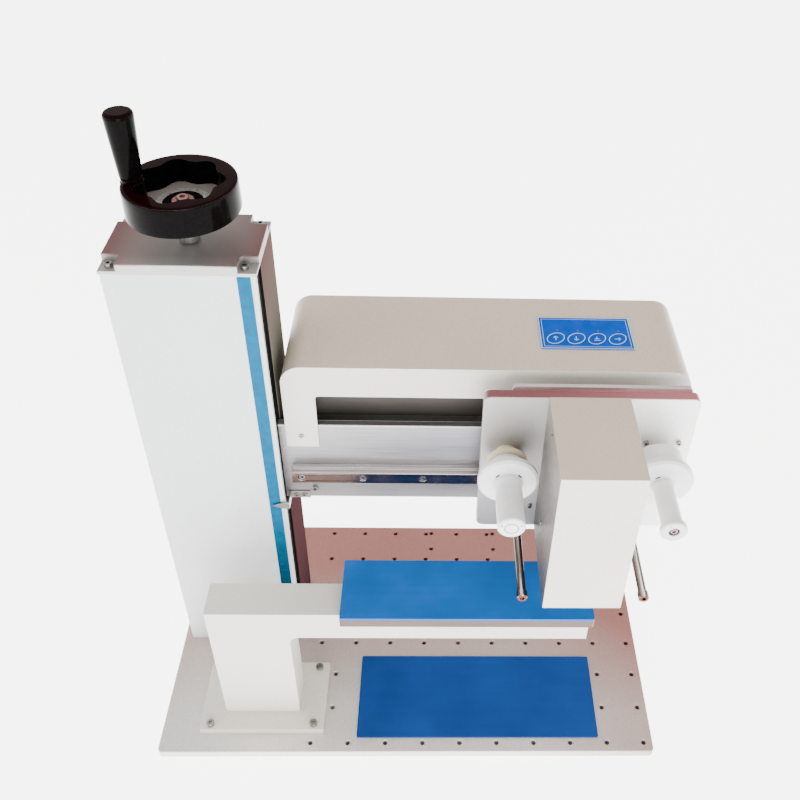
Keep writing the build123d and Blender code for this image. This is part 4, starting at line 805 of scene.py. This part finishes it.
class PRESS_OT_cover(PressOperator):
    """Beam cover, keypad film and keys, sockets and switch"""
    bl_idname, bl_label = "press.cover", "Beam cover"

    def execute(self, context):
        # The beam cover carries painted warm light on its level faces.
        dress(powder_coated_steel("powder_coat_cover", colours().cover_paint, warm_above), "beam_cover")
        # Painted highlight along the cover's edges.
        break_edges(sizes().sheet_edge, "beam_cover", edge_highlight=thin_layer("painted_highlight_cover_edge", EDGE_HIGHLIGHT))
        film = printed_film("polyester_keypad_film", colours().keypad_film)
        dress(film, "keypad_panel", "key_1", "key_2", "key_3", "key_4")
        dress(moulded_abs("black_abs", "161617"), "rear_sockets", "power_switch")
        self.keypad_print()
        self.key_print()
        self.switch_print()
        return {"FINISHED"}

    def keypad_print(self):
        """A pale border, a finer line inside it, and a small lamp window over each key."""
        low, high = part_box("keypad_panel")
        width, depth = high.x - low.x, high.y - low.y
        edge, inner, rim_line, fine_line = 0.5 * MM, 3.2 * MM, 1.0 * MM, 0.5 * MM
        rim = frame_lines(edge, edge, width - edge, depth - edge, rim_line)
        fine = frame_lines(inner, inner, width - inner, depth - inner, fine_line)
        face = (low.x, low.y, high.z + INK_GAP)
        pale = thin_layer("pale_blue_ink", "BFE3F5")
        print_flat("keypad_border", rim + fine, face, (1, 0, 0), (0, 1, 0), pale, "lift_arm")
        lamps, lamp_radius, right_of_key, behind_key = [], 0.9 * MM, 2.6 * MM, 3.6 * MM
        for number in range(1, len(ICONS) + 1):
            key_low, key_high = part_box(f"key_{number}")
            middle = (key_low.x + key_high.x) / 2 - low.x + right_of_key, key_high.y - low.y + behind_key
            lamps.append(dot(lamp_radius, middle))
        print_flat("keypad_lamps", lamps, face, (1, 0, 0), (0, 1, 0), thin_layer("red_lamp_ink", "A8324C"),
                   "lift_arm")

    def key_print(self):
        """On each key a pale oval, tilted like the key, round a plain picture of what it does."""
        pale = thin_layer("key_ink", "CFEBFA")
        turn, inset = math.radians(KEY_TURN), 0.4 * MM
        for number, icon in enumerate(ICONS, start=1):
            low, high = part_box(f"key_{number}")
            middle = ((low.x + high.x) / 2, (low.y + high.y) / 2, high.z + INK_GAP)
            lines = oval_line(KEY_HALF[0] - inset, KEY_HALF[1] - inset, sizes().oval_line, turn)
            lines += [stroke(*[value * MM for value in line], sizes().oval_line) for line in icon]
            print_flat(f"key_{number}_print", lines, middle, (1, 0, 0), (0, 1, 0), pale, f"key_{number}")

    def switch_print(self):
        """A line for ON on the rocker's lower half and a ring for OFF on its upper half."""
        white = thin_layer("switch_ink", "E8E8E6")
        low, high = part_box("power_switch")
        middle, rise = (low.x + high.x) / 2, (high.z - low.z) / 4
        ring, ring_line, half_bar, bar_line = 2.0 * MM, 0.6 * MM, 1.8 * MM, 0.7 * MM
        marks = (("switch_off_mark", oval_line(ring, ring, ring_line), OFF_FACE, high.z - rise),
                 ("switch_on_mark", [stroke(0, -half_bar, 0, half_bar, bar_line)], ON_FACE, low.z + rise))
        for name, lines, (depth, slope), level in marks:
            print_flat(name, lines, (middle, depth, level), (-1, 0, 0), (0, slope, 1), white, "power_switch")


# ------------------------------------------------------------------ head

CARRIAGE_SHADE = ("X", 110, 250)      # painted shade: the carriage plate is darkest left of the first, bright at the second
CUP_RADIUS = 4.9                     # radius of the metal in the take-up cap's cup, in millimetres


class PRESS_OT_head(PressOperator):
    """Carriage plates and the head's sheet box"""
    bl_idname, bl_label = "press.head", "Head carriage"

    def execute(self, context):
        # Painted rose reflection on the plate's upper faces, and painted shade towards its left.
        plate = blasted_anodised_aluminium("blasted_anodised_carriage", "F3F2F2", colours().rose, facing_up,
                                           painted_tone="85827E", painted_tone_along=CARRIAGE_SHADE)
        dress(plate, "carriage_plate")
        dress(brushed_aluminium("milled_backing_plate", "D8D6D4", "X"), "carriage_backing_plate")
        # The head box carries painted warm light on top and painted shade on its left side.
        dress(powder_coated_steel("powder_coat_head", colours().cover_paint, head_tint), "head_cover")
        # Painted highlight along the edges of the head box and the carriage plates.
        edge = thin_layer("painted_highlight_head_edge", EDGE_HIGHLIGHT)
        break_edges(sizes().sheet_edge, "head_cover", edge_highlight=edge)
        break_edges(sizes().plate_edge, "carriage_backing_plate", "carriage_plate", edge_highlight=edge)
        return {"FINISHED"}


class PRESS_OT_spindles(PressOperator):
    """Foil spindles with their bearing rings and cap, and the two guide rods"""
    bl_idname, bl_label = "press.spindles", "Foil spindles"

    def execute(self, context):
        acetal = turned_plastic("turned_acetal", "F2F2F5")
        dress(acetal, "supply_spindle", "takeup_spindle", "takeup_housing")
        low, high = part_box("takeup_cap")
        middle = [IN_MM * (low[i] + high[i]) / 2 for i in range(3)]
        dress(capped_plastic("turned_acetal_cap", "E4E4E8", middle, CUP_RADIUS), "takeup_cap")
        dress(turned_plastic("turned_nylon", "E9DCC0", 0.45, 0.2), "supply_housing")
        dress(chromed_steel("hard_chrome"), "guide_rods")
        return {"FINISHED"}


# ------------------------------------------------------------------ stage

PHOTO_PX = 800                       # the photograph's width and height, in pixels
FOCAL_PX = 904.70031                 # its focal length
MIDDLE_PX = (463.97342, 318.46756)   # where its optical axis meets it
CAMERA_PLACE = (17.44, -627.69, 969.67)   # in millimetres
CAMERA_TURN = (2.23292, -0.03619, 0.01561)   # radians about X, Y and Z
SENSOR_MM = 36.0                     # width of the camera's sensor
SHADE_SHEET_INSET = 1.5 * MM                 # how far the dark sheet of painted shade stays inside the base plate's outline
SHADE_SHEET_LEVEL, FLOOR_LEVEL = -0.0003, -0.0006   # heights of the dark sheet of painted shade and of the light table, in metres
FLOOR_REACH = 6.0                    # from the middle to the light table's edge, in metres
FLOOR_GLOW = 5.0                     # brightness of the light table under the machine
SKY = 1.35                           # brightness of the room above it


class PRESS_OT_stage(PressOperator):
    """Pale floor, soft light and the camera"""
    bl_idname, bl_label = "press.stage", "Floor, light and camera"

    def execute(self, context):
        self.floor()
        self.light()
        self.camera()
        return {"FINISHED"}

    def floor(self):
        """A light table, with a dark sheet under the base plate as painted shade, so that no light comes up
        its holes.
        """
        low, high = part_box("base_plate")
        mat, shade_tree, shade_shader = start("painted_shade_sheet", Roughness=0.9)
        tone = ramp(shade_tree, noise(shade_tree, position(shade_tree), 30.0), [(0.3, "101010"), (0.7, "181818")])
        shade_tree.links.new(tone, shade_shader.inputs["Base Color"])
        across, along_y = (low.x + SHADE_SHEET_INSET, high.x - SHADE_SHEET_INSET), (low.y + SHADE_SHEET_INSET, high.y - SHADE_SHEET_INSET)
        self.sheet("mat", across, along_y, SHADE_SHEET_LEVEL, mat)
        paper, tree, shader = start("light_table", Roughness=0.9, Emission_Strength=FLOOR_GLOW)
        tone = ramp(tree, noise(tree, position(tree), 400.0, 2.0), [(0.3, "F4F3F2"), (0.7, "F8F8F7")])
        tree.links.new(tone, shader.inputs["Base Color"])
        shader.inputs["Emission Color"].default_value = (1, 1, 1, 1)
        self.sheet("floor", (-FLOOR_REACH, FLOOR_REACH), (-FLOOR_REACH, FLOOR_REACH), FLOOR_LEVEL, paper)

    def sheet(self, name, across, along_y, z, material):
        """A level rectangle that is part of the stage."""
        corners = [(across[0], along_y[0], z), (across[1], along_y[0], z), (across[1], along_y[1], z),
                   (across[0], along_y[1], z)]
        mesh = bpy.data.meshes.new(name)
        mesh.from_pydata(corners, [], [(0, 1, 2, 3)])
        mesh.materials.append(material)
        sheet = bpy.data.objects.new(name, mesh)
        bpy.context.scene.collection.objects.link(sheet)

    def light(self):
        world = bpy.data.worlds.new("studio")
        world.use_nodes = True
        world.node_tree.nodes["Background"].inputs["Color"].default_value = (1.0, 0.95, 0.9, 1)
        world.node_tree.nodes["Background"].inputs["Strength"].default_value = SKY
        bpy.context.scene.world = world
        self.lamp("window", place=(0.5, -2.6, 0.9), target=(0.0, 0.0, 0.25), size=1.6, watts=64)
        self.lamp("left_fill", place=(-2.2, -1.2, 0.9), target=(0.0, 0.0, 0.3), size=1.0, watts=16)

    def lamp(self, name, place, target, size, watts):
        data = bpy.data.lights.new(name, "AREA")
        data.shape, data.size, data.energy = "DISK", size, watts
        lamp = bpy.data.objects.new(name, data)
        lamp.location = place
        lamp.rotation_euler = (Vector(target) - Vector(place)).to_track_quat("-Z", "Y").to_euler()
        bpy.context.scene.collection.objects.link(lamp)

    def camera(self):
        data = bpy.data.cameras.new("camera")
        data.sensor_width, data.lens = SENSOR_MM, FOCAL_PX / PHOTO_PX * SENSOR_MM
        data.shift_x = (PHOTO_PX / 2 - MIDDLE_PX[0]) / PHOTO_PX
        data.shift_y = (MIDDLE_PX[1] - PHOTO_PX / 2) / PHOTO_PX
        data.clip_start, data.clip_end = 0.01, 50
        camera = bpy.data.objects.new("camera", data)
        turn = self.world_to_camera()
        right, down, ahead = turn[0], turn[1], turn[2]
        placed = Matrix((right, -down, -ahead)).transposed().to_4x4()
        placed.translation = Vector(CAMERA_PLACE) * MM
        camera.matrix_world = placed
        bpy.context.scene.collection.objects.link(camera)
        bpy.context.scene.camera = camera

    def world_to_camera(self):
        rx, ry, rz = CAMERA_TURN
        return Matrix.Rotation(rz, 3, "Z") @ Matrix.Rotation(ry, 3, "Y") @ Matrix.Rotation(rx, 3, "X")


class PRESS_PT_panel(bpy.types.Panel):
    """Lists the press's pieces and its sizes and colours"""
    bl_idname, bl_label = "PRESS_PT_panel", "Bench foil press"
    bl_space_type, bl_region_type, bl_category = "VIEW_3D", "UI", "Foil press"

    def draw(self, context):
        for operator in OPERATORS:
            self.layout.operator(operator.bl_idname)
        for group in (sizes(), colours()):
            for name in group.__annotations__:
                self.layout.prop(group, name)


OPERATORS = [PRESS_OT_base, PRESS_OT_column, PRESS_OT_stand, PRESS_OT_handwheel, PRESS_OT_arm, PRESS_OT_cover,
             PRESS_OT_head, PRESS_OT_spindles, PRESS_OT_stage]
CLASSES = [PressSizes, PressColours, *OPERATORS, PRESS_PT_panel]


def register():
    for item in CLASSES:
        bpy.utils.register_class(item)
    bpy.types.Scene.press_sizes = bpy.props.PointerProperty(type=PressSizes)
    bpy.types.Scene.press_colours = bpy.props.PointerProperty(type=PressColours)


def unregister():
    del bpy.types.Scene.press_colours
    del bpy.types.Scene.press_sizes
    for item in reversed(CLASSES):
        bpy.utils.unregister_class(item)


def main():
    register()
    for operator in OPERATORS:
        group, name = operator.bl_idname.split(".")
        getattr(getattr(bpy.ops, group), name)()


if __name__ == "__main__":
    main()
